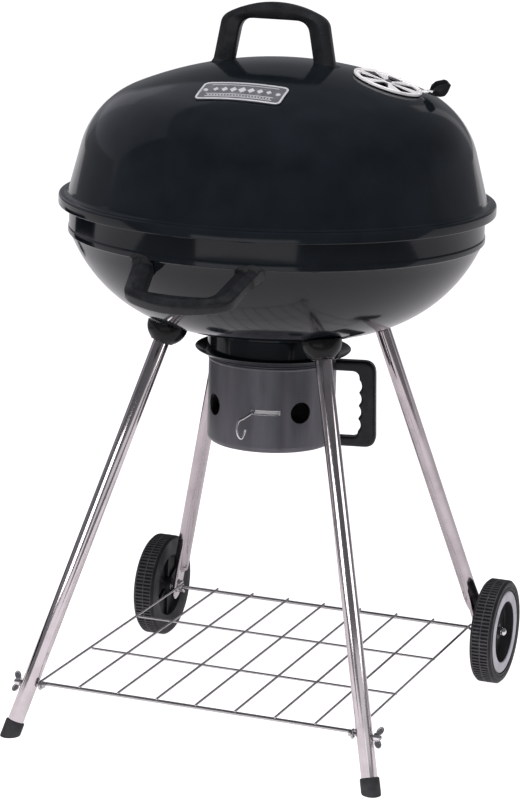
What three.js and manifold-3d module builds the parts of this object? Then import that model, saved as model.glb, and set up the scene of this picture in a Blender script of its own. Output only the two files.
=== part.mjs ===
// A kettle charcoal grill: an enamelled bowl and lift-off lid on four splayed tube legs, with an
// ash pot under the bowl, a wire rack between the legs and two wheels at the back.
//
// Millimetres, +Z up, +X to the cook's right, -Y towards the cook. Everything is first drawn about
// the kettle's axis with the floor at z = 0, then the whole grill moves along Y so that the origin
// is on the floor below the middle of its overall box.
import * as THREE from 'three';
import { mergeVertices } from 'three/addons/utils/BufferGeometryUtils.js';
import Module from 'manifold-3d';

const wasm = await Module();
wasm.setup();

// ---- Driving dimensions ------------------------------------------------------------------------
const INCH = 25.4;
const DEGREE = Math.PI / 180;
const GAP = 0.3; // between pieces that touch
const STEEL = 1.6; // enamelled sheet of the bowl and lid
const THIN_STEEL = 1.2; // sheet of the ash pot and its collar
const KETTLE_SIDES = 28;
const TUBE_SIDES = 12;

const RIM_RADIUS = (22.5 * INCH) / 2;
const RIM_HEIGHT = 733; // top of the bowl's rim above the floor
const WHEEL_RADIUS = 3 * INCH;
const LEG_RADIUS = 11.1;
const LEG_WALL = 1.2;
const LEG_SPLAY = { x: 0.27, y: 0.297 }; // sideways travel for each millimetre down
const HUB_HEIGHT = 562;
const HUB_OFFSET = { x: 111.8, y: 112.9 };

// A bowl or lid outline: a leaning wall, a shoulder arc and a shallow crown arc.
const LID = { base: 288.5, level: 733, lean: 14.6 * DEGREE, straight: 69.2, shoulder: 121.8, rise: 189.2 };
const BOWL = { base: 284.6, level: 682, lean: 25.1 * DEGREE, straight: 13.9, shoulder: 203.4, rise: 143 };
const FLANGE_RADIUS = 301.1; // the lid's rim
const LID_TURN = 3 * DEGREE; // the loose lid sits turned a little from the bowl's front

const POT = { radius: 89, bottom: 389.5, top: 524, corner: 9 };
const POT_VENT = { height: 446.6, radius: 15, first: -42 * DEGREE };
const POT_SLOT = { from: -87 * DEGREE, to: -61.5 * DEGREE, height: 447.7, width: 6.5 };
const LEVER_ANGLE = -85 * DEGREE;
const POT_HANDLE_ANGLE = 14 * DEGREE;

// ---- Looks -------------------------------------------------------------------------------------
const LOOKS = {
  enamel: { color: 0x1b1c20, roughness: 0.18, metalness: 0.1 },
  pot: { color: 0x4a4a51, roughness: 0.38, metalness: 0.3 },
  plastic: { color: 0x1e1e20, roughness: 0.5, metalness: 0 },
  tyre: { color: 0x333235, roughness: 0.7, metalness: 0 },
  chrome: { color: 0xcfc8c8, roughness: 0.15, metalness: 1 },
  steel: { color: 0xb4b1b0, roughness: 0.35, metalness: 1 },
  silver: { color: 0xc4c2cc, roughness: 0.4, metalness: 0.6 },
};

const grill = new THREE.Group();

// Adds one sub-part to the grill as its own mesh.
function add(name, look, geometry, parent = grill) {
  const mesh = new THREE.Mesh(geometryOf(solidOf(geometry)), new THREE.MeshStandardMaterial(LOOKS[look]));
  mesh.name = name;
  parent.add(mesh);
}

// ---- Solids ------------------------------------------------------------------------------------

// Six times the volume that the triangles enclose: negative when they face inwards.
function signedVolume(corners, triangles) {
  const [a, b, c] = [new THREE.Vector3(), new THREE.Vector3(), new THREE.Vector3()];
  let total = 0;
  for (let i = 0; i < triangles.length; i += 3) {
    a.fromArray(corners, 3 * triangles[i]);
    b.fromArray(corners, 3 * triangles[i + 1]);
    c.fromArray(corners, 3 * triangles[i + 2]);
    total += a.dot(b.cross(c));
  }
  return total;
}

// Drops everything but position from a geometry and merges the corners that its faces share.
function mergedGeometry(geometry) {
  const bare = new THREE.BufferGeometry();
  bare.setAttribute('position', geometry.getAttribute('position').clone());
  bare.setIndex(geometry.getIndex());
  return mergeVertices(bare, 1e-4);
}

function solidOf(geometry) {
  const merged = geometry.userData.closed ? geometry : mergedGeometry(geometry);
  const corners = merged.getAttribute('position').array;
  const index = merged.getIndex().array;
  const triangles = [];
  for (let i = 0; i < index.length; i += 3) {
    const [a, b, c] = [index[i], index[i + 1], index[i + 2]];
    if (a !== b && b !== c && c !== a) triangles.push(a, b, c);
  }
  if (signedVolume(corners, triangles) < 0) triangles.reverse();
  const vertProperties = Float32Array.from(corners);
  const mesh = new wasm.Mesh({ numProp: 3, vertProperties, triVerts: Uint32Array.from(triangles) });
  return new wasm.Manifold(mesh);
}

function geometryOf(solid) {
  const mesh = solid.getMesh();
  const geometry = new THREE.BufferGeometry();
  geometry.setAttribute('position', new THREE.Float32BufferAttribute(mesh.vertProperties, 3));
  geometry.setIndex(Array.from(mesh.triVerts));
  geometry.computeVertexNormals();
  geometry.userData.closed = true;
  return geometry;
}

function join(first, ...others) {
  return geometryOf(others.reduce((solid, other) => solid.add(solidOf(other)), solidOf(first)));
}

function cut(first, ...tools) {
  return geometryOf(tools.reduce((solid, tool) => solid.subtract(solidOf(tool)), solidOf(first)));
}

// ---- Shape helpers -----------------------------------------------------------------------------
const UP = new THREE.Vector3(0, 0, 1);
const vec = (x, y, z) => new THREE.Vector3(x, y, z);

// Spins an outline of [radius, height] pairs about Z. It starts and ends on the axis, or is closed.
function revolve(outline, sides) {
  const points = outline.map(([radius, height]) => new THREE.Vector2(radius, height));
  if (outline[0][0] !== 0) points.push(points[0].clone());
  return new THREE.LatheGeometry(points, sides).rotateX(Math.PI / 2);
}

// A frame at a point whose local Z looks along a direction, with local X as near to side as it can be.
function frameAt(origin, direction, side = vec(1, 0, 0)) {
  const z = direction.clone().normalize();
  const sideways = Math.abs(z.dot(side)) > 0.99 ? vec(-side.z, side.x, side.y) : side;
  const x = sideways.clone().addScaledVector(z, -sideways.dot(z)).normalize();
  const y = z.clone().cross(x);
  return new THREE.Matrix4().makeBasis(x, y, z).setPosition(origin);
}

function rod(from, to, radius, sides = 12) {
  const along = to.clone().sub(from);
  const length = along.length();
  const bar = new THREE.CylinderGeometry(radius, radius, length, sides).rotateX(Math.PI / 2);
  return bar.translate(0, 0, length / 2).applyMatrix4(frameAt(from, along));
}

// A length of wire bent through the given points.
function bentWire(points, radius, steps, sides = 6) {
  const section = new THREE.Shape();
  for (let i = 0; i < sides; i += 1) {
    const angle = (2 * Math.PI * i) / sides;
    const corner = [radius * Math.cos(angle), radius * Math.sin(angle)];
    if (i === 0) section.moveTo(...corner);
    else section.lineTo(...corner);
  }
  const path = new THREE.CatmullRomCurve3(points, false, 'centripetal');
  return new THREE.ExtrudeGeometry(section, { steps, bevelEnabled: false, extrudePath: path });
}

function polygon(points) {
  return new THREE.Shape(points.map(([x, y]) => new THREE.Vector2(x, y)));
}

// A flat plate of the given outline, from z = low to z = high, with its edges chamfered.
function plate(shape, low, high, chamfer = 0, curveSegments = 6) {
  const bevels = { bevelThickness: chamfer, bevelSize: chamfer, bevelOffset: -chamfer, bevelSegments: 1 };
  const depth = high - low - 2 * chamfer;
  const options = { depth, curveSegments, bevelEnabled: chamfer > 0, ...bevels };
  return new THREE.ExtrudeGeometry(shape, options).translate(0, 0, low + chamfer);
}

const polar = (radius, angle, height) => vec(radius * Math.cos(angle), radius * Math.sin(angle), height);

// The two fasteners used all over: a round-headed rivet and a hex-headed bolt, both along local Z.
function rivet({ head, headHeight, shank, from, to, tail, tailHeight }) {
  return revolve(
    [
      [0, to + headHeight], [head * 0.6, to + headHeight * 0.85], [head, to], [shank, to],
      [shank, from], [tail, from], [tail, from - tailHeight], [0, from - tailHeight],
    ],
    8,
  );
}

function bolt({ head, headHeight, shank, length }) {
  const hex = new THREE.CylinderGeometry(head, head, headHeight, 6).rotateX(Math.PI / 2);
  const shaft = rod(vec(0, 0, -headHeight / 2), vec(0, 0, length), shank, 8);
  return join(hex.translate(0, 0, -headHeight / 2), shaft);
}

// ---- The kettle's outlines ---------------------------------------------------------------------

// Points from the wall's foot to the pole as [radius, distance from the level], moved inwards by inset.
function domeOutline({ base, lean, straight, shoulder, rise }, inset = 0, shoulderSteps = 4, crownSteps = 3) {
  const shoulderRadius = base - straight * Math.sin(lean) - shoulder * Math.cos(lean);
  const shoulderLevel = straight * Math.cos(lean) - shoulder * Math.sin(lean);
  const depth = shoulderLevel - rise;
  const crown = (shoulder ** 2 - shoulderRadius ** 2 - depth ** 2) / (2 * (depth + shoulder));
  const wallAngle = Math.PI / 2 - lean;
  const joinAngle = Math.asin(shoulderRadius / (crown - shoulder));
  const points = [[base - inset / Math.cos(lean), 0]];
  for (let i = 0; i <= shoulderSteps; i += 1) {
    const angle = wallAngle + ((joinAngle - wallAngle) * i) / shoulderSteps;
    const reach = shoulder - inset;
    points.push([shoulderRadius + reach * Math.sin(angle), shoulderLevel + reach * Math.cos(angle)]);
  }
  for (let i = 1; i <= crownSteps; i += 1) {
    const angle = joinAngle * (1 - i / crownSteps);
    const reach = crown - inset;
    points.push([i === crownSteps ? 0 : reach * Math.sin(angle), rise - crown + reach * Math.cos(angle)]);
  }
  return { points, crown };
}

const lidOutline = (inset) => domeOutline(LID, inset).points.map(([r, h]) => [r, LID.level + h]);
const bowlOutline = (inset) => domeOutline(BOWL, inset).points.map(([r, h]) => [r, BOWL.level - h]);
const LID_CROWN = domeOutline(LID).crown;
const BOWL_CROWN = domeOutline(BOWL).crown;
const LID_TOP = LID.level + LID.rise;
const BOWL_BOTTOM = BOWL.level - BOWL.rise;

// Heights of the lid's crown and the bowl's bottom at a distance from the axis.
const lidHeight = (radius) => LID_TOP - LID_CROWN + Math.sqrt(LID_CROWN ** 2 - radius ** 2);
const bowlHeight = (radius) => BOWL_BOTTOM + BOWL_CROWN - Math.sqrt(BOWL_CROWN ** 2 - radius ** 2);

// The space that the bowl or lid fills, grown by the working gap, for trimming what sits against it.
const BEAD_RADIUS = 287; // the pressed bead below the bowl's collar
const BEAD_BOTTOM = 681.5;
const beadBlank = [[0, RIM_HEIGHT], [BEAD_RADIUS + GAP, RIM_HEIGHT], [BEAD_RADIUS + GAP, BEAD_BOTTOM - GAP]];
const bowlBlank = revolve([...beadBlank, ...bowlOutline(-GAP).slice(1)], KETTLE_SIDES);
const lidBlank = revolve([[0, LID.level], ...lidOutline(-GAP)], KETTLE_SIDES);

// ---- Bowl --------------------------------------------------------------------------------------
const BOWL_MOUTH = 76; // radius of the opening in the bottom that ash falls through
const HUB_BOLT_HOLE = 3.4;

const corners = [[1, -1, 'front_right'], [-1, -1, 'front_left'], [1, 1, 'rear_right'], [-1, 1, 'rear_left']];
const hubCentre = (sx, sy) => vec(sx * HUB_OFFSET.x, sy * HUB_OFFSET.y, HUB_HEIGHT);
const legDown = (sx, sy) => vec(sx * LEG_SPLAY.x, sy * LEG_SPLAY.y, -1).normalize();
const legPoint = (sx, sy, z) => {
  const drop = HUB_HEIGHT - z;
  return vec(sx * (HUB_OFFSET.x + LEG_SPLAY.x * drop), sy * (HUB_OFFSET.y + LEG_SPLAY.y * drop), z);
};

// Inward normal of the bowl's shoulder at a hub, which its bolt follows.
const hubBoltDirection = (sx, sy) => {
  const radius = Math.hypot(HUB_OFFSET.x, HUB_OFFSET.y);
  const lean = Math.asin(radius / BOWL_CROWN);
  const azimuth = Math.atan2(sy * HUB_OFFSET.y, sx * HUB_OFFSET.x);
  return polar(-Math.sin(lean), azimuth, Math.cos(lean));
};

const COLLAR_RIVETS = [90, 210, 330].map((angle) => angle * DEGREE);
const COLLAR_RIVET_RADIUS = 86.5;
const SIDE_HANDLE = { shift: -8, height: 669.5, y: -272, lean: 25.1 * DEGREE, boltSpan: 72 };
const sideHandleOut = vec(0, -Math.cos(SIDE_HANDLE.lean), -Math.sin(SIDE_HANDLE.lean));
const sideHandleFrame = frameAt(vec(SIDE_HANDLE.shift, SIDE_HANDLE.y, SIDE_HANDLE.height), sideHandleOut);

function bowlShell() {
  const outer = [
    [284.15, RIM_HEIGHT], [291.2, RIM_HEIGHT], [292, 731], [291, 729.6], [RIM_RADIUS, 728],
    [RIM_RADIUS, 691], [BEAD_RADIUS, 689], [BEAD_RADIUS, BEAD_BOTTOM],
    ...bowlOutline(0).slice(1, -1), [BOWL_MOUTH, bowlHeight(BOWL_MOUTH)],
  ];
  const inner = [
    [284.15, 690.2], [BEAD_RADIUS - STEEL, 688.6], [BEAD_RADIUS - STEEL, BEAD_BOTTOM + 0.8],
    ...bowlOutline(STEEL).slice(1, -1), [BOWL_MOUTH, bowlHeight(BOWL_MOUTH) + STEEL],
  ];
  const keep = ([r]) => r >= BOWL_MOUTH;
  const shell = revolve([...outer.filter(keep), ...inner.filter(keep).reverse()], KETTLE_SIDES);
  const tools = corners.map(([sx, sy]) => {
    const along = hubBoltDirection(sx, sy);
    const centre = hubCentre(sx, sy);
    const reach = (distance) => centre.clone().addScaledVector(along, distance);
    return rod(reach(-8), reach(12), HUB_BOLT_HOLE, 8);
  });
  for (const angle of COLLAR_RIVETS) {
    tools.push(rod(polar(COLLAR_RIVET_RADIUS, angle, 535), polar(COLLAR_RIVET_RADIUS, angle, 560), 2.2, 8));
  }
  for (const side of [-1, 1]) {
    const x = side * SIDE_HANDLE.boltSpan;
    const hole = rod(vec(x, 0, -20), vec(x, 0, 12), 3, 10);
    tools.push(hole.applyMatrix4(sideHandleFrame));
  }
  for (const angle of GRATE_TABS) {
    const { height, radius } = TAB_STUD;
    tools.push(rod(polar(270, angle, height), polar(300, angle, height), radius + GAP, 8));
  }
  return cut(shell, ...tools);
}

// ---- Grates and their tabs ---------------------------------------------------------------------
const GRATE_TABS = [45, 135, 225, 315].map((angle) => angle * DEGREE);
const TAB_STUD = { height: 699, radius: 1.9, end: 283.6 };
const COOKING = { radius: 278, height: 712, ring: 3, pitch: 50, rod: 2.4, bars: [-120, 120] };
const COALS = { radius: 213, height: 602, ring: 3, pitch: 60, rod: 3, bars: [-90, 90] };

// A round wire grate: a ring, parallel rods across it, and bars under the rods.
function grate({ radius, height, ring, pitch, rod: rodRadius, bars }) {
  const pieces = [new THREE.TorusGeometry(radius, ring, 4, KETTLE_SIDES).rotateZ(-Math.PI / 2)];
  const count = Math.floor((radius - 6) / pitch);
  for (let i = -count; i <= count; i += 1) {
    const half = Math.sqrt(radius ** 2 - (i * pitch) ** 2);
    pieces.push(rod(vec(i * pitch, -half, 0), vec(i * pitch, half, 0), rodRadius, 4));
  }
  for (const y of bars) {
    const half = Math.sqrt(radius ** 2 - y ** 2);
    pieces.push(rod(vec(-half, y, -1.5 * rodRadius), vec(half, y, -1.5 * rodRadius), rodRadius, 4));
  }
  return join(...pieces).translate(0, 0, height);
}

// A bent tab inside the bowl's wall, which the cooking grate rests on. Its stud ends flush in the wall.
function grateTab(angle) {
  const wall = RIM_RADIUS - STEEL - 3;
  const shelf = COOKING.height - COOKING.ring - GAP;
  const [tip, back] = [wall - 16, wall - 2];
  const profile = polygon([
    [wall, shelf - 20], [wall, shelf], [tip, shelf], [tip, shelf - 2], [back, shelf - 2], [back, shelf - 20],
  ]);
  const body = plate(profile, -9, 9).rotateX(Math.PI / 2).rotateZ(angle);
  const { height, radius, end } = TAB_STUD;
  const stud = rod(polar(wall - 1, angle, height), polar(end, angle, height), radius, 8);
  return join(body, stud);
}

// ---- Legs, hubs and foot caps ------------------------------------------------------------------
const HUB_RADIUS = 28;
const LEG_START = 12; // distance from a hub's centre to the top of its leg
const FOOT_CAP = { radius: 13.2, length: 22, floor: 3 };
const FLAT = { start: 150, full: 100, end: 54, halfThickness: 2.7, halfWidth: 16 };
const RACK_BOLT = { z: 72, y: -(HUB_OFFSET.y + LEG_SPLAY.y * (HUB_HEIGHT - 72)) };
const AXLE = { y: 250.3, z: WHEEL_RADIUS, radius: 4 };
const HOOK = { y: 262, z: 65, radius: 2 };

function legHub(sx, sy) {
  const centre = hubCentre(sx, sy);
  const down = legDown(sx, sy);
  const at = (distance) => centre.clone().addScaledVector(down, distance);
  const ball = new THREE.SphereGeometry(HUB_RADIUS, TUBE_SIDES, 8).rotateX(Math.PI / 2);
  const into = hubBoltDirection(sx, sy);
  return cut(
    ball.applyMatrix4(frameAt(centre, down)),
    bowlBlank,
    rod(at(LEG_START - 0.5), at(HUB_RADIUS + 4), LEG_RADIUS + 0.8, TUBE_SIDES),
    rod(centre.clone().addScaledVector(into, -8), centre.clone().addScaledVector(into, 5), HUB_BOLT_HOLE, 8),
  );
}

function hubBolt(sx, sy) {
  const into = hubBoltDirection(sx, sy);
  const seat = hubCentre(sx, sy).addScaledVector(into, STEEL + 3);
  return bolt({ head: 6, headHeight: 4, shank: 3, length: 11 }).applyMatrix4(frameAt(seat, into.negate()));
}

// Cross holes through a leg, along X.
const crossHole = (sx, y, z, radius) => rod(vec(sx * 215, y, z), vec(sx * 275, y, z), radius, 8);

function frontLeg(sx) {
  const top = hubCentre(sx, -1).addScaledVector(legDown(sx, -1), LEG_START);
  const bottom = legPoint(sx, -1, FOOT_CAP.floor + 3);
  const tube = cut(
    rod(top, bottom, LEG_RADIUS, TUBE_SIDES),
    rod(legPoint(sx, -1, 580), legPoint(sx, -1, -20), LEG_RADIUS - LEG_WALL, TUBE_SIDES),
  );
  return cut(tube, crossHole(sx, RACK_BOLT.y, RACK_BOLT.z, 3.2));
}

// The rear leg's lower end is pressed flat, and its tip is rounded.
function rearLegBlank(sx, grow = 0) {
  const sides = TUBE_SIDES;
  const down = legDown(sx, 1);
  const top = hubCentre(sx, 1).addScaledVector(down, LEG_START);
  const length = (top.z - FLAT.end) / -down.z;
  const along = (z) => (top.z - z) / -down.z;
  const middle = (FLAT.start + FLAT.full) / 2;
  const heights = [FLAT.start, middle, FLAT.full, FLAT.end + 11];
  const stations = [0, ...heights.map(along), length - 4, length];
  const tip = [1, 1, 1, 1, 1, 0.8, 0.45];
  const positions = [];
  stations.forEach((distance, i) => {
    const flatness = Math.min(1, Math.max(0, (distance - stations[1]) / (stations[3] - stations[1])));
    const eased = flatness * flatness * (3 - 2 * flatness);
    const thin = LEG_RADIUS + (FLAT.halfThickness - LEG_RADIUS) * eased + grow;
    const wide = (LEG_RADIUS + (FLAT.halfWidth - LEG_RADIUS) * eased) * tip[i] + grow;
    for (let k = 0; k < sides; k += 1) {
      const angle = (2 * Math.PI * k) / sides;
      positions.push(thin * Math.cos(angle), wide * Math.sin(angle), distance);
    }
  });
  const last = stations.length - 1;
  positions.push(0, 0, 0, 0, 0, stations[last]);
  const index = [];
  for (let i = 0; i < last; i += 1) {
    for (let k = 0; k < sides; k += 1) {
      const [a, b] = [i * sides + k, i * sides + ((k + 1) % sides)];
      index.push(a, b, b + sides, a, b + sides, a + sides);
    }
  }
  const first = positions.length / 3 - 2;
  for (let k = 0; k < sides; k += 1) {
    const next = (k + 1) % sides;
    index.push(first, next, k, first + 1, last * sides + k, last * sides + next);
  }
  const geometry = new THREE.BufferGeometry();
  geometry.setAttribute('position', new THREE.Float32BufferAttribute(positions, 3));
  geometry.setIndex(index);
  return geometry.applyMatrix4(frameAt(top, down));
}

function rearLeg(sx) {
  const bore = rod(legPoint(sx, 1, 580), legPoint(sx, 1, FLAT.start + 4), LEG_RADIUS - LEG_WALL, TUBE_SIDES);
  const axleHole = crossHole(sx, AXLE.y, AXLE.z, AXLE.radius + 0.4);
  return cut(rearLegBlank(sx), bore, axleHole, crossHole(sx, HOOK.y, HOOK.z, HOOK.radius + 0.5));
}

function footCap(sx) {
  const foot = legPoint(sx, -1, 0);
  const up = legDown(sx, -1).negate();
  const at = (distance) => foot.clone().addScaledVector(up, distance);
  const belowFloor = new THREE.BoxGeometry(80, 80, 40).translate(foot.x, foot.y, -20);
  const bore = rod(at(FOOT_CAP.floor + 2.6), at(60), LEG_RADIUS + 0.8, TUBE_SIDES);
  return cut(rod(at(-10), at(FOOT_CAP.length), FOOT_CAP.radius, TUBE_SIDES), bore, belowFloor);
}

// ---- Wire rack and its fasteners ---------------------------------------------------------------
const RACK = { front: -250.9, back: 242.6, half: 229.5, frontZ: 72, backZ: 78, frame: 2.6, wire: 1.7 };
const RACK_WIRES = 9;
const EYE = { x: 227.6, radius: 5.4, wire: 1.8 };

// Height of the rack's plane, which rises gently to the back.
const rackHeight = (y) =>
  RACK.frontZ + ((RACK.backZ - RACK.frontZ) * (y - RACK.front)) / (RACK.back - RACK.front);

function wireRack() {
  const pieces = [];
  const across = (y, radius, drop) =>
    rod(vec(-RACK.half, y, rackHeight(y) + drop), vec(RACK.half, y, rackHeight(y) + drop), radius, 4);
  pieces.push(across(RACK.front, RACK.frame, 0), across(RACK.back, RACK.frame, 0));
  const lift = RACK.frame + RACK.wire - 0.8; // the long wires are welded on top
  for (const third of [1 / 3, 2 / 3]) {
    pieces.push(across(RACK.front + (RACK.back - RACK.front) * third, RACK.wire, lift - 1.6 * RACK.wire));
  }
  for (let i = 0; i < RACK_WIRES; i += 1) {
    const x = -RACK.half + (2 * RACK.half * i) / (RACK_WIRES - 1);
    const [front, back] = [RACK.front - 2.5, RACK.back + 3.5];
    const end = (y) => vec(x, y, rackHeight(y) + lift);
    pieces.push(rod(end(front), end(back), RACK.wire, 4));
  }
  for (const sx of [-1, 1]) {
    const eye = new THREE.TorusGeometry(EYE.radius, EYE.wire, 4, 10).rotateY(Math.PI / 2);
    pieces.push(eye.translate(sx * EYE.x, RACK_BOLT.y, RACK_BOLT.z));
    const hook = [
      vec(sx * 226, RACK.back, RACK.backZ), vec(sx * 231, 246, 74), vec(sx * 232.5, 256, 67),
      vec(sx * 237, HOOK.y, HOOK.z), vec(sx * 249, HOOK.y, HOOK.z),
    ];
    pieces.push(bentWire(hook, HOOK.radius, 7, 5));
  }
  return join(...pieces);
}

function rackBolt(sx) {
  const seat = vec(sx * (EYE.x - EYE.wire - GAP), RACK_BOLT.y, RACK_BOLT.z);
  const screw = bolt({ head: 4.6, headHeight: 3.5, shank: 2.7, length: 42 });
  return screw.applyMatrix4(frameAt(seat, vec(sx, 0, 0), UP));
}

function wingNut(sx) {
  const hub = new THREE.CylinderGeometry(4.6, 6, 8, 12).rotateX(Math.PI / 2).translate(0, 0, 4);
  const ears = [-1, 1].map((side) => {
    const ear = new THREE.Shape().absellipse(0, 0, 6.5, 4.5, 0, 2 * Math.PI);
    const leaf = plate(ear, -1, 1, 0, 5).rotateX(Math.PI / 2).rotateY(-side * 0.5);
    return leaf.translate(side * 8.5, 0, 6.5);
  });
  const seat = vec(sx * 257.6, RACK_BOLT.y, RACK_BOLT.z);
  const ready = cut(join(hub, ...ears), rod(vec(0, 0, -2), vec(0, 0, 14), 3.1, 10));
  return ready.applyMatrix4(frameAt(seat, vec(sx, 0, 0), vec(0, 0.5, 1)));
}

// ---- Wheels ------------------------------------------------------------------------------------
const WHEEL = { inner: 249.5, width: 32, sides: 20, hub: 12, web: [10, 16], rim: 44.5, pocket: 3 };
const TRIM = { seat: 30, thickness: 1.4 };

const wheelFrame = (sx) => frameAt(vec(sx * WHEEL.inner, AXLE.y, AXLE.z), vec(sx, 0, 0), UP);

// A moulded wheel, along local Z from its inner face: hub, web with six pockets behind, rim and tyre.
function wheel(sx) {
  const body = revolve(
    [
      [AXLE.radius + 0.4, 1.5], [WHEEL.hub, 1.5], [WHEEL.hub, WHEEL.web[0]], [WHEEL.rim, WHEEL.web[0]],
      [46, 2], [62, 0], [73, 0], [WHEEL_RADIUS, 3.5], [WHEEL_RADIUS, WHEEL.width - 3.5],
      [73, WHEEL.width], [61.5, WHEEL.width], [61.5, TRIM.seat], [WHEEL.rim, TRIM.seat],
      [WHEEL.rim, WHEEL.web[1]], [WHEEL.hub, WHEEL.web[1]], [WHEEL.hub, 22], [AXLE.radius + 0.4, 22],
    ],
    WHEEL.sides,
  );
  const pockets = [];
  for (let i = 0; i < 6; i += 1) {
    const middle = (i * Math.PI) / 3;
    const pocket = new THREE.Shape();
    pocket.absarc(0, 0, 39, middle - 0.36, middle + 0.36, false);
    pocket.absarc(0, 0, 19, middle + 0.22, middle - 0.22, true);
    pockets.push(plate(pocket, WHEEL.web[0] - 2, WHEEL.web[0] + WHEEL.pocket, 0, 2));
  }
  return cut(body, ...pockets).applyMatrix4(wheelFrame(sx));
}

function wheelTrim(sx) {
  const low = TRIM.seat + GAP;
  const high = low + TRIM.thickness;
  const ring = [[45.2, low], [60.2, low], [60.2, low + 0.8], [57, high], [45.2, high]];
  return revolve(ring, WHEEL.sides).applyMatrix4(wheelFrame(sx));
}

// The flattened leg leans, so the bolt's square head is tipped to lie on it.
function axleBolt(sx) {
  const start = legPoint(sx, 1, AXLE.z).x - sx * 5.6;
  const head = new THREE.BoxGeometry(4.4, 16, 16).rotateY(-sx * Math.atan(LEG_SPLAY.x));
  const shaft = rod(vec(start, AXLE.y, AXLE.z), vec(sx * 278.5, AXLE.y, AXLE.z), AXLE.radius, 12);
  return join(head.translate(start, AXLE.y, AXLE.z), shaft);
}

function axleWasher(sx) {
  const ring = revolve([[AXLE.radius + 0.4, -1], [8, -1], [8, 1.1], [AXLE.radius + 0.4, 1.1]], 12);
  return cut(ring.applyMatrix4(wheelFrame(sx)), rearLegBlank(sx, GAP));
}

function acornNut(sx) {
  const low = 22.4;
  const hex = new THREE.CylinderGeometry(7, 7, 5, 6).rotateX(Math.PI / 2).translate(0, 0, low + 2.5);
  const outline = [[0, 11], [3, 10.2], [5, 8.4], [6, 5], [6, 2], [0, 2]];
  const dome = revolve(outline.map(([radius, height]) => [radius, low + height]), 12);
  const bore = rod(vec(0, 0, low - 2), vec(0, 0, low + 7.5), AXLE.radius + 0.3, 10);
  return cut(join(hex, dome), bore).applyMatrix4(wheelFrame(sx));
}

// ---- Ash collar, pot and damper ----------------------------------------------------------------
const COLLAR = { inner: 89.9, bottom: 511, lip: 108.6, lipHeight: 522.4, flange: 81.5 };

function ashCollar() {
  const outer = COLLAR.inner + THIN_STEEL;
  const top = (radius) => bowlHeight(radius) - GAP - 0.2;
  const shell = revolve(
    [
      [COLLAR.inner, COLLAR.bottom], [outer, COLLAR.bottom], [COLLAR.lip - 1, COLLAR.lipHeight - 2.2],
      [COLLAR.lip, COLLAR.lipHeight - 0.6], [COLLAR.lip - 0.8, COLLAR.lipHeight],
      [COLLAR.lip - 2, COLLAR.lipHeight - 0.8], [outer, COLLAR.bottom + 2.6],
      [outer, top(outer)], [COLLAR.flange, top(COLLAR.flange)],
      [COLLAR.flange, top(COLLAR.flange) - THIN_STEEL], [COLLAR.inner, top(COLLAR.inner) - THIN_STEEL],
    ],
    KETTLE_SIDES,
  );
  const holes = COLLAR_RIVETS.map((angle) =>
    rod(polar(COLLAR_RIVET_RADIUS, angle, 535), polar(COLLAR_RIVET_RADIUS, angle, 555), 2.2, 8));
  return cut(shell, ...holes);
}

function collarRivet(angle) {
  const seat = bowlHeight(COLLAR_RIVET_RADIUS);
  const ends = { head: 3.6, headHeight: 2, tail: 3, tailHeight: 1.6 };
  const pin = rivet({ ...ends, shank: 1.8, from: seat - 3.6, to: seat + 3.1 });
  return pin.translate(...polar(COLLAR_RIVET_RADIUS, angle, 0).toArray());
}

// A round hole tool through the pot's wall at an angle.
const ventTool = (angle) =>
  rod(polar(70, angle, POT_VENT.height), polar(105, angle, POT_VENT.height), POT_VENT.radius, 10);
const ventAngles = [0, 1, 2, 3].map((i) => POT_VENT.first + (i * Math.PI) / 2);

// A slice of a ring between two angles, from z = low to z = high.
function arcBand(inner, outer, from, to, low, high) {
  const band = new THREE.Shape();
  band.absarc(0, 0, outer, from, to, false);
  band.absarc(0, 0, inner, to, from, true);
  return plate(band, low, high, 0, 4);
}

const POT_HANDLE_BOLTS = [400, 502];

function ashPot() {
  const { radius, bottom, top, corner } = POT;
  const inner = radius - THIN_STEEL;
  const shell = revolve(
    [
      [0, bottom], [radius - corner, bottom], [radius - 0.3 * corner, bottom + 0.3 * corner],
      [radius, bottom + corner], [radius, top], [inner, top], [inner, bottom + corner],
      [inner - 0.3 * corner, bottom + 0.3 * corner + THIN_STEEL], [inner - corner, bottom + THIN_STEEL],
      [0, bottom + THIN_STEEL],
    ],
    KETTLE_SIDES,
  );
  const half = POT_SLOT.width / 2;
  const slot = arcBand(80, 100, POT_SLOT.from, POT_SLOT.to, POT_SLOT.height - half, POT_SLOT.height + half);
  const boltHoles = POT_HANDLE_BOLTS.map((z) =>
    rod(polar(80, POT_HANDLE_ANGLE, z), polar(100, POT_HANDLE_ANGLE, z), 2.6, 10));
  return cut(shell, ...ventAngles.map(ventTool), slot, ...boltHoles);
}

const DAMPER = { outer: 87, inner: 85.8, low: 404.5, high: 468 };

function damperRing() {
  const { outer, inner, low, high } = DAMPER;
  const ring = revolve([[inner, low], [outer, low], [outer, high], [inner, high]], KETTLE_SIDES);
  const pin = rod(polar(80, LEVER_ANGLE, POT_SLOT.height), polar(100, LEVER_ANGLE, POT_SLOT.height), 2.3, 8);
  return cut(ring, ...ventAngles.map(ventTool), pin);
}

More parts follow.
